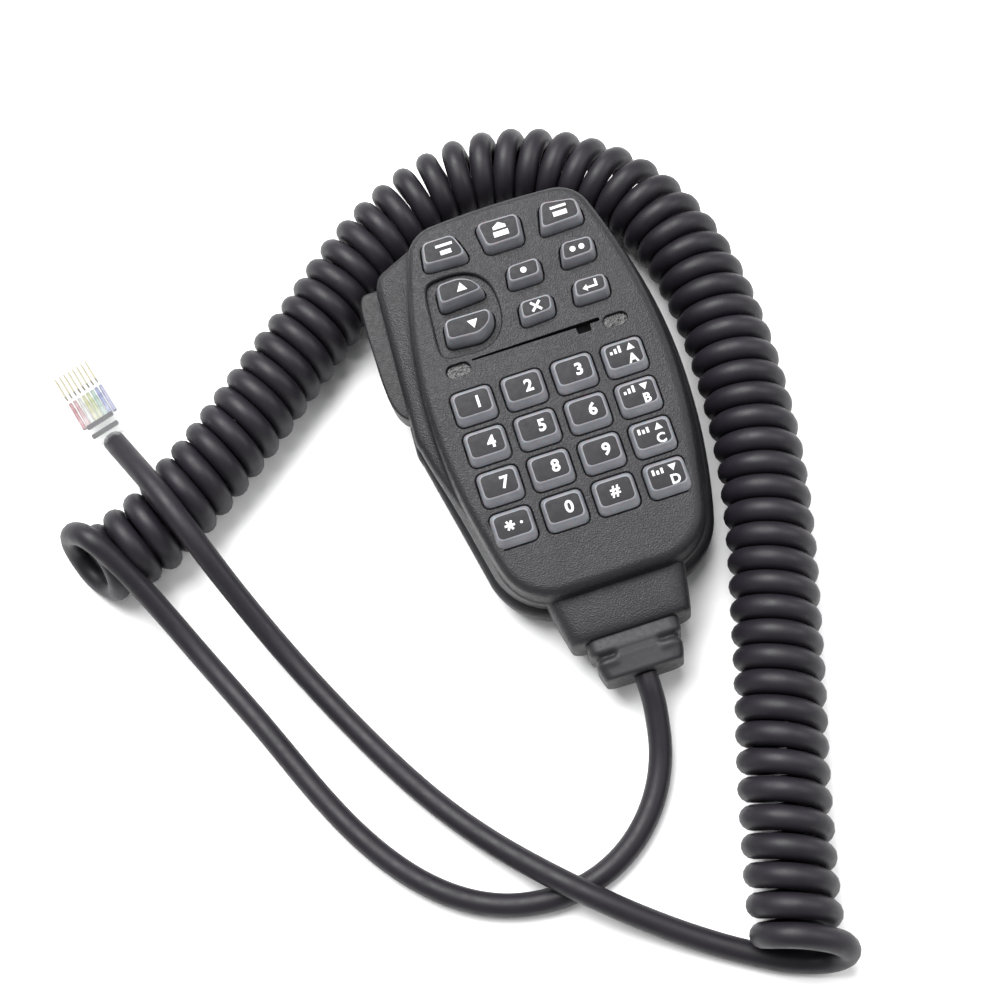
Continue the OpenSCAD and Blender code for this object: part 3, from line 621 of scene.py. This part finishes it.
def coil_points():
    """The coil's helix along its route, from the side of its second turn to the top of its last."""
    middle = smooth_path([(x, y, COIL_R) for x, y in COIL_ROUTE], COIL_STEP)
    size, near, wide = len(middle), 8, 12
    headings = [(middle[min(i + near, size - 1)] - middle[max(i - near, 0)]).normalized()
                for i in range(size)]
    first, last = round(COIL_START / COIL_STEP), size - 1 - round(COIL_END / COIL_STEP)
    turns = [0]
    for i in range(1, size):
        a, b = headings[max(i - wide, 0)], headings[min(i + wide, size - 1)]
        bend = a.angle(b) / (2 * wide * COIL_STEP)
        opening = LOOSER * ease((i - LOOSER_FROM * size) / (LOOSER_OVER * size))
        closing = TIGHTER * (1 - ease((i - first) / TIGHTER_STEPS))
        pitch = COIL_PITCH / (1 - BEND_SHARE * COIL_R * bend) + opening - closing
        turns.append(turns[-1] + (middle[i] - middle[i - 1]).length / pitch)
    count = COIL_TURNS - 0.25
    share = count / (turns[last] - turns[first])
    strand_at = COIL_R - STRAND_SWELL * CORD_R
    out, i, steps = [], first, round(count * POINTS_PER_TURN)
    for k in range(steps + 1):
        turned = count * k / steps
        while i < last - 1 and (turns[i + 1] - turns[first]) * share < turned:
            i += 1
        low, high = ((turns[j] - turns[first]) * share for j in (i, i + 1))
        t = (turned - low) / (high - low)
        centre = middle[i].lerp(middle[i + 1], t)
        heading = headings[i].lerp(headings[i + 1], t)
        along = FIRST_ALONG.lerp(heading, ease(turned / TURNS_TO_ROUTE)).normalized()
        angle = 2 * pi * (turned + 0.25)
        across = Vector((0, 0, 1)).cross(along)
        out.append(centre + strand_at * (Vector((0, 0, cos(angle))) + across * sin(angle)))
    return out


def unkinked(points):
    """Softens every place where the cord would bend more sharply than its own jacket allows."""
    points = list(points)
    passes, near = 400, 3
    for _ in range(passes):
        sharp = []
        for i in range(1, len(points) - 1):
            a, b, c = points[i - 1:i + 2]
            if (b - a).angle(c - b) > (c - a).length / 2 / TIGHTEST_BEND:
                sharp.append(i)
        if not sharp:
            break
        for i in {j for i in sharp for j in range(max(1, i - near), min(len(points) - 1, i + near + 1))}:
            points[i] = points[i].lerp((points[i - 1] + points[i + 1]) / 2, 0.5)
    return points


def make_cord(material):
    """The whole cord on one line: lead, first turn, coil, last curl and the lead to the plug."""
    coil = coil_points()
    lead = eased(evenly(smooth_path(MIC_LEAD_ROUTE, CORD_STEP), CORD_STEP), 9)
    turn = smooth_path([*first_turn(), coil[0]], CORD_STEP)
    start = eased(evenly([*lead[-LEAD_JOIN:-1], *turn], FIRST_STEP), 2)
    curl = smooth_path([coil[-1], *LAST_CURL, *PLUG_LEAD_ROUTE[2:5]], CORD_STEP)
    tail = eased(evenly([*curl, *smooth_path(PLUG_LEAD_ROUTE[5:], CORD_STEP)], CORD_STEP), 3)
    tail = [*tail[:TAIL_JOIN], *eased(tail[TAIL_JOIN:], 9)]
    points = unkinked(eased([*lead[:-LEAD_JOIN], *start[:-1], *coil, *tail[1:-PLUG_CUT]], 1))
    before, after = len(lead) - LEAD_JOIN, len(tail) - CURL_POINTS
    curve = bpy.data.curves.new("cord", "CURVE")
    curve.dimensions = "3D"
    curve.bevel_depth = CORD_R
    curve.bevel_resolution = 5
    curve.use_fill_caps = True
    line = curve.splines.new("POLY")
    line.points.add(len(points) - 1)
    for target, p in zip(line.points, points):
        target.co = (p.x, p.y, max(p.z, LEAD_SWELL * CORD_R), 1)
    for i, target in enumerate(line.points):
        share = min(ease((i - before) / SWELL_POINTS), ease((len(points) - after - i) / SWELL_POINTS))
        target.radius = LEAD_SWELL + (STRAND_SWELL - LEAD_SWELL) * share
    curve.materials.append(material)
    cord = bpy.data.objects.new("cord", curve)
    SCENE.collection.objects.link(cord)
    settle(cord, MICROPHONE, "cord", "mic_lead", "cord_coil", "plug_lead")
    return cord


# ---------- case outline ----------

def polar(r, angle):
    return Vector((r * cos(radians(angle)), r * sin(radians(angle))))


def arc(centre, r, start, end, steps):
    return [centre + polar(r, start + (end - start) * i / steps) for i in range(steps + 1)]


HEAD_CENTRE = SIDE_CENTRE + polar(SIDE_R - HEAD_R, HEAD_ANGLE)
NECK_CENTRE = SIDE_CENTRE + polar(SIDE_R - NECK_R, NECK_ANGLE)
CROWN_ANGLE = degrees(acos(HEAD_CENTRE.x / (CROWN_R - HEAD_R)))
CROWN_CENTRE = Vector((0, HEAD_CENTRE.y - (CROWN_R - HEAD_R) * sin(radians(CROWN_ANGLE))))


def mirrored(p):
    return Vector((-p.x, p.y))


def right_half(inset):
    """Case outline from the neck up the right side to the middle of the crown."""
    return [*arc(NECK_CENTRE, NECK_R - inset, FOOT_ANGLE, NECK_ANGLE, 20),
            *arc(SIDE_CENTRE, SIDE_R - inset, NECK_ANGLE, HEAD_ANGLE, 30)[1:],
            *arc(HEAD_CENTRE, HEAD_R - inset, HEAD_ANGLE, CROWN_ANGLE, 16)[1:],
            *arc(CROWN_CENTRE, CROWN_R - inset, CROWN_ANGLE, 90, 8)[1:]]


def housing_left(inset):
    """Left side with the press-to-talk housing, from the middle of the crown to the neck."""
    return [*arc(CROWN_CENTRE, CROWN_R - inset, 90, 180 - CROWN_ANGLE, 8),
            *arc(mirrored(HEAD_CENTRE), HEAD_R - inset, 180 - CROWN_ANGLE, 120, 6)[1:],
            *arc(HOUSING_TOP, max(4.8 - inset, 0.4), 105, 174, 14),
            *arc(HOUSING_LOW, max(5.4 - inset, 0.4), 176, 205, 12),
            *arc(mirrored(NECK_CENTRE), NECK_R - inset, 180 - NECK_ANGLE, 180 - FOOT_ANGLE, 20)]


WINDOW = (PTT_MID_Y + PTT_LEN / 2 + PTT_GAP, PTT_MID_Y - PTT_LEN / 2 - PTT_GAP)
WINDOW_TOP = -(PTT_MID_Z + PTT_H / 2 + PTT_GAP) / cos(SLOPE)
WINDOW_BOTTOM = -(PTT_MID_Z - PTT_H / 2 - PTT_GAP) / cos(SLOPE)


def in_columns(points, drop):
    """The left side in three stretches: above the press-to-talk window, along it and below it."""
    rest, parts = points, []
    for y in WINDOW:
        level = GRID_Y + y * cos(SLOPE) + drop * cos(SLOPE) * sin(SLOPE)
        upper, rest = split_at(rest, min(level, rest[0].y - 0.2))
        parts.append(upper)
    return [p for part, count in zip([*parts, rest], LEFT_COUNTS) for p in resampled(part, count)]


def outline(inset, housing_inset, share, drop):
    """Case outline at a depth below the face; share goes from 0, plain, to 1, with the housing."""
    right = right_half(inset)
    plain = in_columns([mirrored(p) for p in reversed(right)], drop)
    wide = in_columns(housing_left(inset), drop)
    own = in_columns(housing_left(housing_inset), drop)
    left = []
    for a, b, c in zip(plain, wide, own):
        local = ease((c.y - HOUSING_FROM) / HOUSING_RISE) * (1 - ease((c.y - HOUSING_TO) / HOUSING_FALL))
        left.append(a.lerp(b.lerp(c, local), share))
    return right, left


def round_screws(p, level):
    """Keeps the back's rounded edge outside the heads of the two upper screws."""
    for x, y in CASE_SCREWS[2:]:
        head = Vector((x, y * cos(SLOPE) + GRID_Y + HEAD_SHIFT))
        away = Vector((x, SWELL_TURN * y)).normalized()
        off = p - head
        along, aside = off.dot(away), abs(off.dot(away.orthogonal()))
        if along > -SWELL_BEHIND:
            lift = max(0.0, RECESS_R + SWELL_WALL - along) * (1 - ease((aside - SWELL_HALF) / SWELL_BLEND))
            p = p + away * lift * ease((level - SWELL_FOOT) / SWELL_RISE)
    return p


def reached(y, drop):
    """Draws the lower end of the raised panel down to where it is seen to end."""
    share = ease((REACH_FROM - y) / REACH_OVER) * (1 - ease((drop - REACH_DROP) / REACH_FADE))
    return y - PANEL_REACH * share


def case_ring(inset, drop, share=1.0, housing_inset=None, low_inset=0.0, rear=False, level=1.0):
    """One ring of a shell. The press-to-talk window is left open between its top and bottom edges."""
    housing_inset = inset if housing_inset is None else housing_inset
    lower = outline(inset + low_inset, housing_inset + low_inset, share, drop)
    upper = outline(inset, housing_inset, share, drop) if low_inset else lower
    out = []
    for side in (0, 1):
        for i, (a, b) in enumerate(zip(upper[side], lower[side])):
            p = a.lerp(b, ease((LOWER_FROM - a.y) / LOWER_OVER)) if low_inset else a
            own = drop
            if side and LEFT_COUNTS[0] <= i < LEFT_COUNTS[0] + LEFT_COUNTS[1]:
                own = max(drop, WINDOW_BOTTOM) if rear else min(drop, WINDOW_TOP)
            if level < 1:
                p = round_screws(p, level)
            y = reached(p.y, drop)
            out.append(Vector((p.x + CASE_X, y, level * (FACE_Z - own + tan(SLOPE) * (y - GRID_Y)))))
    return out


def flat_loop(ring):
    """A ring's points on the face's own axes, without repeats."""
    back = FACE.inverted()
    loop = []
    for p in ring:
        q = (back @ p).to_2d()
        if not loop or (q - loop[-1]).length > 1e-4:
            loop.append(q)
    return loop


# ---------- front case ----------

def key_feet():
    """Each key's foot on the face, by node."""
    feet = {}
    for row, names in enumerate(DIGITS):
        for col, name in enumerate(names):
            centre = ((col - 1.5) * KEY_PITCH.x, (1.5 - row) * KEY_PITCH.y)
            feet["key_" + name] = box_outline(DIGIT_SIZE, 1.5, centre)
    for name, corners in FUNCTION_KEYS.items():
        feet[name] = rounded(corners, 1.3)
    return feet


def hole(shape, loop, depth, rim=0.22, margin=0.12, top=0.0):
    """Walls of a hole with a rounded rim; returns the loop that the face around it ends at."""
    rings = [face_ring(grown(loop, rim + margin), top), face_ring(grown(loop, rim), top)]
    rings += [face_ring(grown(loop, rim * out), top - rim * down) for out, down in quarter(4)]
    rings += [face_ring(loop, top - rim - 0.1), face_ring(loop, -depth)]
    shape.loft(rings)
    return grown(loop, rim + margin)


# Rings of the shells, as inset, drop below the face, share of the housing, its inset, lower inset
FRONT_OUTSIDE = [
    (2.68, 2.6, 0), (2.62, 3.2, 0), (2.58, 3.8, 0), (2.52, 4.2, 0.02), (2.45, 4.45, 0.15),
    (2.35, 4.6, 0.55, 2.6), (2.28, 4.72, 1, 2.3), (2.22, 4.9, 1, 1.75), (2.12, 5.2, 1, 1.3),
    (2.0, 5.7, 1, 0.95), (1.8, 6.5, 1, 0.74), (1.45, 7.6, 1, 0.6), (1.1, WINDOW_TOP, 1, 0.5, 0.25),
    (0.8, 9.6, 1, 0.5, 0.5), (0.6, PARTING_DROP - 0.35, 1, 0.5, 0.8),
    (0.75, PARTING_DROP - 0.12, 1, 0.65, 0.8)]
FRONT_INSIDE = [
    (2.6, PARTING_DROP - 0.12, 1, 2.3, 0.6), (3.2, 8, 1, 2.5), (4.0, 6.2, 0.9, 3.4), (4.1, 5.2, 0),
    (4.3, PANEL_T / cos(SLOPE), 0)]
REAR_SIDES = [
    (1.0, PARTING_DROP + 0.02, 1, 0.9, 0.8), (0.5, PARTING_DROP + 0.12, 1, 0.4, 0.9),
    (0.25, PARTING_DROP + 0.5, 1, 0.15, 0.55), (0.05, PARTING_DROP + 1.2, 1, 0, 0.2),
    (0.1, 13.6, 1, 0, 0.05), (0.35, WINDOW_BOTTOM, 1, 0.2, 0)]
# The rounded back below the press-to-talk window, as share of the height, inset and share of the housing
REAR_ROUNDING = [
    (0.86, 0.75, 1), (0.7, 1.3, 0.95), (0.55, 1.9, 0.88), (0.42, 2.5, 0.8), (0.3, 3.2, 0.7),
    (0.2, 3.9, 0.6), (0.12, 4.6, 0.5), (0.06, 5.3, 0.42), (0.02, 6.0, 0.36), (0, 6.8, 0.3)]


def front_rings():
    """Rings of the front shell, from the keypad panel over its edge to the parting line, then inside."""
    edge, rim = 1.9, 2.75
    rings = [case_ring(rim + edge + 0.5, 0, 0), case_ring(rim + edge, 0, 0)]
    rings += [case_ring(rim + edge * out, edge * down, 0) for out, down in quarter(8)]
    rings += [case_ring(*ring) for ring in FRONT_OUTSIDE]
    return rings, [case_ring(*ring) for ring in FRONT_INSIDE]


def make_front(materials, feet):
    shape = Shape()
    rings, inner = front_rings()
    shape.loft(rings + inner)
    well = rounded(WELL, 2.6, 6)
    in_well = ("key_up", "key_down")
    through = {name: grown(foot, KEY_GAP) for name, foot in feet.items()}
    lenses = [oval(LENS_SIZE, (side * LENS_AT[0], LENS_AT[1])) for side in (-1, 1)]
    slot = rounded(SLOT, 0.25, 3)

    on_panel = [hole(shape, loop, PANEL_T) for name, loop in through.items() if name not in in_well]
    on_panel += [hole(shape, loop, PANEL_T) for loop in lenses]
    on_panel.append(hole(shape, slot, SLOT_DEPTH, rim=0.1, margin=0.08))
    on_panel.append(hole(shape, well, WELL_DEPTH, rim=0.5))
    shape.patch(flat_loop(rings[0]), on_panel, on_face)
    # The slot's floor takes material slot 1, the near-black painted shade
    shape.patch(slot, [], lambda p: on_face((p[0], p[1], -SLOT_DEPTH)), 1)

    floor = [hole(shape, through[name], PANEL_T, top=-WELL_DEPTH) for name in in_well]
    shape.patch(well, floor, lambda p: on_face((p[0], p[1], -WELL_DEPTH)))
    under = [*through.values(), *lenses]
    shape.patch(flat_loop(inner[-1]), under, lambda p: on_face((p[0], p[1], -PANEL_T)))
    return shape.build("front_shell", [materials["case_front"], materials["hollow"]])


# ---------- rear case ----------

def rear_rings():
    rings = [case_ring(*ring, rear=True) for ring in REAR_SIDES]
    for level, inset, share in REAR_ROUNDING:
        rings.append(case_ring(inset, WINDOW_BOTTOM, share, rear=True, level=level))
    return rings


def cut(piece, cutter):
    """Takes one solid out of another and throws the cutter away."""
    change = piece.modifiers.new("cut", "BOOLEAN")
    change.operation, change.solver, change.object = "DIFFERENCE", "EXACT", cutter
    bpy.context.view_layer.update()
    mesh = bpy.data.meshes.new_from_object(piece.evaluated_get(bpy.context.evaluated_depsgraph_get()))
    piece.modifiers.clear()
    piece.data = mesh
    mesh.set_sharp_from_angle(angle=radians(35))
    bpy.data.objects.remove(cutter)


def make_rear(materials):
    """The rear shell, with the hanger's pocket and the screws' recesses cut into its back."""
    shape = Shape()
    rings = rear_rings()
    lip = [case_ring(2.8, PARTING_DROP + 0.02, 1, 2.6, 0.5, True)]
    inner = [case_ring(3.2, WINDOW_BOTTOM, 1, 2.6, 0, True),
             case_ring(4.6, WINDOW_BOTTOM, 0.9, rear=True, level=0.85),
             case_ring(6.5, WINDOW_BOTTOM, 0.7, rear=True, level=0.8)]
    shape.solid([*reversed(inner), *lip, *rings])
    piece = shape.build("rear_shell", [materials["case_rear"]])
    tool = Shape()
    tool.prism(box_outline(POCKET_SIZE, 1.2, POCKET_AT), -1, POCKET_DEPTH, Vector)
    for x, y in CASE_SCREWS:
        tool.prism(disc(RECESS_R, x, y, 32), -30, RECESS_TOP, on_face)
    cut(piece, tool.build("tool", []))
    return piece


# ---------- keys ----------

def text_shape(shape, text, size, centre, z, slot):
    """Adds a raised character, centred on a place on the face."""
    curve = bpy.data.curves.new("legend", "FONT")
    curve.body = text
    curve.size = size
    curve.offset = 0.03 * size
    curve.extrude = CAPTION_T
    curve.resolution_u = 3
    curve.align_x = "CENTER"
    curve.align_y = "CENTER"
    holder = bpy.data.objects.new("legend", curve)
    SCENE.collection.objects.link(holder)
    bpy.context.view_layer.update()
    mesh = holder.evaluated_get(bpy.context.evaluated_depsgraph_get()).to_mesh()
    middle = (min(v.co.y for v in mesh.vertices) + max(v.co.y for v in mesh.vertices)) / 2
    base = len(shape.points)
    for v in mesh.vertices:
        shape.points.append(on_face((v.co.x + centre[0], v.co.y - middle + centre[1], v.co.z + z)))
    for face in mesh.polygons:
        shape.faces.append(tuple(base + i for i in face.vertices))
        shape.slots.append(slot)
    bpy.data.objects.remove(holder)


def icon(shape, corners, centre, z, size=1.0):
    loop = [(centre[0] + size * x, centre[1] + size * y) for x, y in corners]
    shape.prism(loop, z - CAPTION_T, z + CAPTION_T, on_face, 2)


UP = [(-0.8, -0.6), (0.8, -0.6), (0, 0.75)]
DOWN = [(-0.8, 0.6), (0, -0.75), (0.8, 0.6)]


def bar(w, h, x=0, y=0):
    return [(x - w / 2, y - h / 2), (x + w / 2, y - h / 2), (x + w / 2, y + h / 2), (x - w / 2, y + h / 2)]


FUNCTION_ICONS = {
    "key_top_left": [bar(3.4, 0.55, 0, 1.0), bar(2.2, 0.9, 0, -0.5)],
    "key_top_middle": [[(-1.3, 0.3), (1.3, 0.3), (1.3, 0.9), (0, 1.7), (-1.3, 0.9)], bar(3.0, 1.1, 0, -0.7)],
    "key_top_right": [bar(3.2, 0.55, 0, 1.0), bar(2.8, 1.0, 0, -0.4)],
    "key_up": [[(1.3 * x, 1.3 * y) for x, y in UP]],
    "key_down": [[(1.3 * x, 1.3 * y) for x, y in DOWN]],
    "key_f1": [disc(0.62)],
    "key_f2": [disc(0.58, -0.9), disc(0.58, 0.9)],
    "key_clear": [[(-1.1, -0.75), (-0.75, -1.1), (1.1, 0.75), (0.75, 1.1)],
                  [(-1.1, 0.75), (-0.2, -0.15), (0.15, 0.2), (-0.75, 1.1)],
                  [(1.1, -0.75), (0.2, 0.15), (-0.15, -0.2), (0.75, -1.1)]],
    "key_enter": [[(-1.6, -0.3), (-0.7, -1.0), (-0.7, -0.5), (1.4, -0.5), (1.4, 1.0), (0.95, 1.0),
                   (0.95, -0.1), (-0.7, -0.1), (-0.7, 0.4)]],
}


def digit_legend(shape, name, centre, z):
    x, y = centre
    if name in "abcd":
        text_shape(shape, name.upper(), 2.6, (x + 1.4, y - 1.2), z, 2)
        icon(shape, UP if name in "ac" else DOWN, (x + 1.5, y + 1.15), z, 1.0)
        for k in range(3):
            height = 0.6 + 0.4 * k if name in "ab" else 1.1 - 0.3 * (k % 2)
            icon(shape, bar(0.5, height, -2.3 + 0.85 * k, height / 2), (x, y + 0.5), z)
    elif name == "star":
        for k in range(3):
            turned = [(p * cos(k * pi / 3) - q * sin(k * pi / 3), p * sin(k * pi / 3) + q * cos(k * pi / 3))
                      for p, q in bar(2.0, 0.45)]
            icon(shape, turned, (x - 0.6, y), z + 0.01 * k)
        icon(shape, disc(0.28), (x + 1.7, y), z)
    elif name == "hash":
        text_shape(shape, "#", 3.0, (x, y), z, 2)
    else:
        text_shape(shape, name, 3.3, (x + 1.0, y), z, 2)


def make_key(name, foot, proud, materials):
    """A translucent skirt with rounded edges, a dark plate let into its top, and a raised white legend."""
    shape = Shape()
    digit = proud == DIGIT_PROUD
    centre = sum(foot, Vector((0, 0))) / len(foot)
    lean = Vector((0, DIGIT_LEAN if digit else FUNCTION_LEAN))
    top = [p + lean for p in shrunk(foot, DIGIT_SQUEEZE if digit else FUNCTION_SQUEEZE)]
    if digit:
        level = centre.y + lean.y
        top = [Vector((p.x, level + (p.y - centre.y - lean.y) * DIGIT_TOP_HEIGHT)) for p in top]
    base = -PANEL_T - 0.3
    rings = [face_ring(grown(foot, -0.05), base), face_ring(foot, base + 0.3), face_ring(foot, 0.1)]
    for t in (0.35, 0.65, 0.88):
        rings.append(face_ring([a.lerp(b, t ** 1.3) for a, b in zip(foot, top)], 0.1 + (proud - 0.3) * t))
    rings += [face_ring(shrunk(top, 0.04), proud - 0.1), face_ring(shrunk(top, 0.14), proud - 0.02),
              face_ring(shrunk(top, 0.34), proud)]
    plate = shrunk(top, 0.36)
    shape.loft(rings)
    shape.cap(rings[0])
    shape.loft([rings[-1], face_ring(plate, proud - 0.05)], 1)
    shape.loft([face_ring(plate, proud - 0.05), face_ring(shrunk(plate, 0.15), proud - 0.03)], 1)
    shape.cap(face_ring(shrunk(plate, 0.15), proud - 0.03), 1)
    middle = sum(top, Vector((0, 0))) / len(top)
    if digit:
        digit_legend(shape, name[4:], middle, proud)
    else:
        for part in FUNCTION_ICONS[name]:
            icon(shape, part, middle, proud)
    piece = shape.build(name + "_cap", [materials["skirt"], materials["key_top"], materials["legend"]])
    settle(piece, name, "keys", name)


def make_lens(name, side, materials):
    """An oval window of lumpy clear resin, sunk a little under the face."""
    shape = Shape()
    rings = [face_ring(oval(LENS_SIZE, (side * LENS_AT[0], LENS_AT[1])), -PANEL_T - 0.5)]
    for k, share in enumerate((0.99, 0.97, 0.85, 0.7, 0.52, 0.34, 0.16)):
        ring = []
        for p in oval((LENS_SIZE[0] * share, LENS_SIZE[1] * share), (side * LENS_AT[0], LENS_AT[1])):
            lump = LENS_LUMP * noise.noise(Vector((2.4 * p.x, 3.0 * p.y, side)))
            sunk = -LENS_RIM_SUNK if k < 1 else -LENS_SUNK
            ring.append(on_face((p.x, p.y, sunk + lump * min(k, 2) / 2)))
        rings.append(ring)
    shape.solid(rings)
    settle(shape.build(name + "_resin", [materials["lens"]], sharp=60), MICROPHONE, "lens", name)


# ---------- press-to-talk bar ----------

def make_ptt(materials):
    """The bar's outer edge carries fine cross ribs; its long edges are rounded."""
    y0, y1 = PTT_MID_Y - PTT_LEN / 2, PTT_MID_Y + PTT_LEN / 2
    o = PTT_OUTER
    corners = [(PTT_INNER, y0), (o + 3.4, y0), (o + 1.8, y0 + 1.3), (o + 0.8, y0 + 3.2), (o + 0.2, y0 + 6),
               (o, y0 + 10), (o, y0 + 20), (o + 0.3, y1 - 3), (o + 0.8, y1 - 1), (o + 1.7, y1),
               (PTT_PIVOT_X + 2, y1), (PTT_PIVOT_X + 2, y1 - 3.6), (PTT_INNER, y1 - 4.2)]
    loop = rounded([Vector(c) for c in reversed(corners)], 0.8, 4)
    fine = resampled([*loop, loop[0]], 420)[:-1]
    ribbed = []
    for p in fine:
        depth = RIB_DEPTH * ease((o + 1.6 - p.x) / 0.6) * (0.5 + 0.5 * cos(2 * pi * p.y / RIB_PITCH))
        ribbed.append(Vector((p.x + depth, p.y)))
    shape = Shape()
    low, high, edge = PTT_MID_Z - PTT_H / 2, PTT_MID_Z + PTT_H / 2, PTT_EDGE
    rings = [face_ring(grown(fine, -edge), low)]
    rings += [face_ring(grown(fine, -edge * out), low + edge * down) for out, down in quarter(4)[:-1]]
    rings += [face_ring(ribbed, low + edge), face_ring(ribbed, high - edge)]
    rings += [face_ring(grown(fine, -edge * down), high - edge * out) for out, down in quarter(4)]
    shape.solid(rings)
    settle(shape.build("ptt_bar", [materials["button"]]), "ptt_button", "button", "ptt_button")


# ---------- neck and boot ----------

def make_neck(materials):
    shape = Shape()
    rings = []
    for y, width, depth, middle in NECK_STATIONS:
        loop = box_outline((width, depth), NECK_CORNER, steps=6)
        rings.append([Vector((CASE_X + p.x, y, middle + p.y)) for p in loop])
    shape.solid(rings)
    return shape.build("neck_shell", [materials["case_front"]])


def bell(t):
    return exp(-t * t)


def make_boot(materials):
    """Rubber boot: a tapered block with a finger notch on each side and a groove over each shoulder."""
    shape = Shape()
    stations = []
    for (y0, w0, h0), (y1, w1, h1) in zip(BOOT_PROFILE, BOOT_PROFILE[1:]):
        steps = max(1, round((y0 - y1) / BOOT_STEP))
        stations += [(y0 + (y1 - y0) * k / steps, w0 + (w1 - w0) * k / steps, h0 + (h1 - h0) * k / steps)
                     for k in range(steps)]
    stations.append(BOOT_PROFILE[-1])
    rings = []
    for y, w, h in stations:
        groove = GROOVE_DEPTH * bell((y - GROOVE_Y) / GROOVE_HALF)
        bulge = BULGE_DEPTH * bell((y - BULGE_Y) / BULGE_HALF)
        loop = box_outline((w, h), BOOT_CORNER, steps=8)
        ring = []
        for p in resampled([*loop, loop[0]], BOOT_POINTS)[:-1]:
            on_shoulder = ease((abs(p.x) - 3.6) / 1.2) * ease((abs(p.y) - 2.5) / 1.5)
            side = 1 if p.y > 0 else -1
            z = BOOT_AXIS_Z + p.y - side * (groove - bulge) * on_shoulder
            ring.append(Vector((CASE_X + p.x, y, z)))
        rings.append(ring)
    shape.solid(rings)
    settle(shape.build("boot", [materials["rubber"]], sharp=50), MICROPHONE, "rubber", "cord_boot")


# ---------- plug ----------

ON_PLUG = (Matrix.Translation(PLUG_AT) @ Matrix.Rotation(radians(PLUG_TURN), 4, "Z")
           @ Matrix.Rotation(radians(-PLUG_PITCH), 4, "X"))


def make_plug_inside(materials):
    """Eight coloured wires in the plug, and the dark jacket showing through its two crimp slots."""
    wires = Shape()
    for k in range(len(WIRE_COLOURS)):
        at = (k - (len(WIRE_COLOURS) - 1) / 2) * CONTACT_PITCH
        rings = [[ON_PLUG @ Vector((x, y, z)) for x, z in disc(WIRE_R, at, 0, 12)] for y in WIRE_AT]
        wires.solid(rings, k)
    colours = [wire_material(name, colour) for name, colour in WIRE_COLOURS]
    settle(wires.build("wires_in_plug", colours), MICROPHONE, "wires", "plug_wires")
    jacket = Shape()
    for y in CRIMPS_AT:
        crimp = box_outline(CRIMP_SIZE, 0.4, (0, y))
        jacket.prism(crimp, CRIMP_LOW, CRIMP_HIGH, lambda p: ON_PLUG @ Vector(p))
    settle(jacket.build("jacket_end", [materials["cord"]]), MICROPHONE, "cord")


# ---------- scene ----------

def make_stage():
    mesh = bpy.data.meshes.new("floor")
    work = bmesh.new()
    bmesh.ops.create_grid(work, x_segments=8, y_segments=8, size=3)
    work.to_mesh(mesh)
    work.free()
    mesh.materials.append(plastic("floor", (0.90, 0.90, 0.905), (0.93, 0.93, 0.93), 0.8, patch=0.002))
    floor = bpy.data.objects.new("floor", mesh)
    SCENE.collection.objects.link(floor)


def area_light(name, place, aim, size, power):
    data = bpy.data.lights.new(name, "AREA")
    data.size = size
    data.energy = power
    light = bpy.data.objects.new(name, data)
    light.location = place
    light.rotation_euler = (Vector(aim) - Vector(place)).to_track_quat("-Z", "Y").to_euler()
    SCENE.collection.objects.link(light)


def make_light():
    world = bpy.data.worlds.new("world")
    world.use_nodes = True
    background = world.node_tree.nodes["Background"]
    background.inputs["Color"].default_value = (1, 1, 1, 1)
    background.inputs["Strength"].default_value = 0.5
    SCENE.world = world
    area_light("softbox", (-0.12, 0.42, 0.95), (0, 0, 0), 0.8, 25)
    area_light("side", (0.8, -0.1, 0.7), (0, 0, 0), 0.6, 5)
    SCENE.view_settings.view_transform = "Standard"


def dress_nodes(materials):
    """A material on every CAD node that is shown as it is."""
    looks = {
        "steel": ["case_screws", "hanger_screws", "board_screws", "clamp_screws", "cord_clamp", "ptt_pin",
                  "mic_capsule"],
        "black_steel": ["hanger_plate"], "silicone": ["keypad_mat"], "board": ["main_board"],
        "chip": ["controller_chip", "ptt_switch"], "parts": ["board_parts"], "nylon": ["board_connector"],
        "rubber": ["mic_boot"], "led": ["indicator_leds"], "cord": ["inner_cable"],
        "clear": ["plug_body", "plug_latch"], "contact": ["plug_contacts"]}
    for look, names in looks.items():
        for name in names:
            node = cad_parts[name]
            node.data.materials.clear()
            node.data.materials.append(materials[look])
    for name in ("inner_wires", "plug_wires"):
        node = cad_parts[name]
        node.data.materials.clear()
        node.data.materials.append(wire_material(name, WIRE_COLOURS[0][1]))


make_camera()
MATERIALS = make_materials()
CORD = make_cord(MATERIALS["cord"])
make_plug_inside(MATERIALS)
FEET = key_feet()
front = make_front(MATERIALS, FEET)
settle(front, MICROPHONE, "case_front", "front_case")
rear = make_rear(MATERIALS)
settle(rear, MICROPHONE, "case_rear", "rear_case")
settle(make_neck(MATERIALS), MICROPHONE, "case_front")
for key, foot in FEET.items():
    make_key(key, foot, FUNCTION_PROUD if key in FUNCTION_KEYS else DIGIT_PROUD, MATERIALS)
make_lens("indicator_lens_left", -1, MATERIALS)
make_lens("indicator_lens_right", 1, MATERIALS)
make_ptt(MATERIALS)
make_boot(MATERIALS)
dress_nodes(MATERIALS)
make_stage()
make_light()
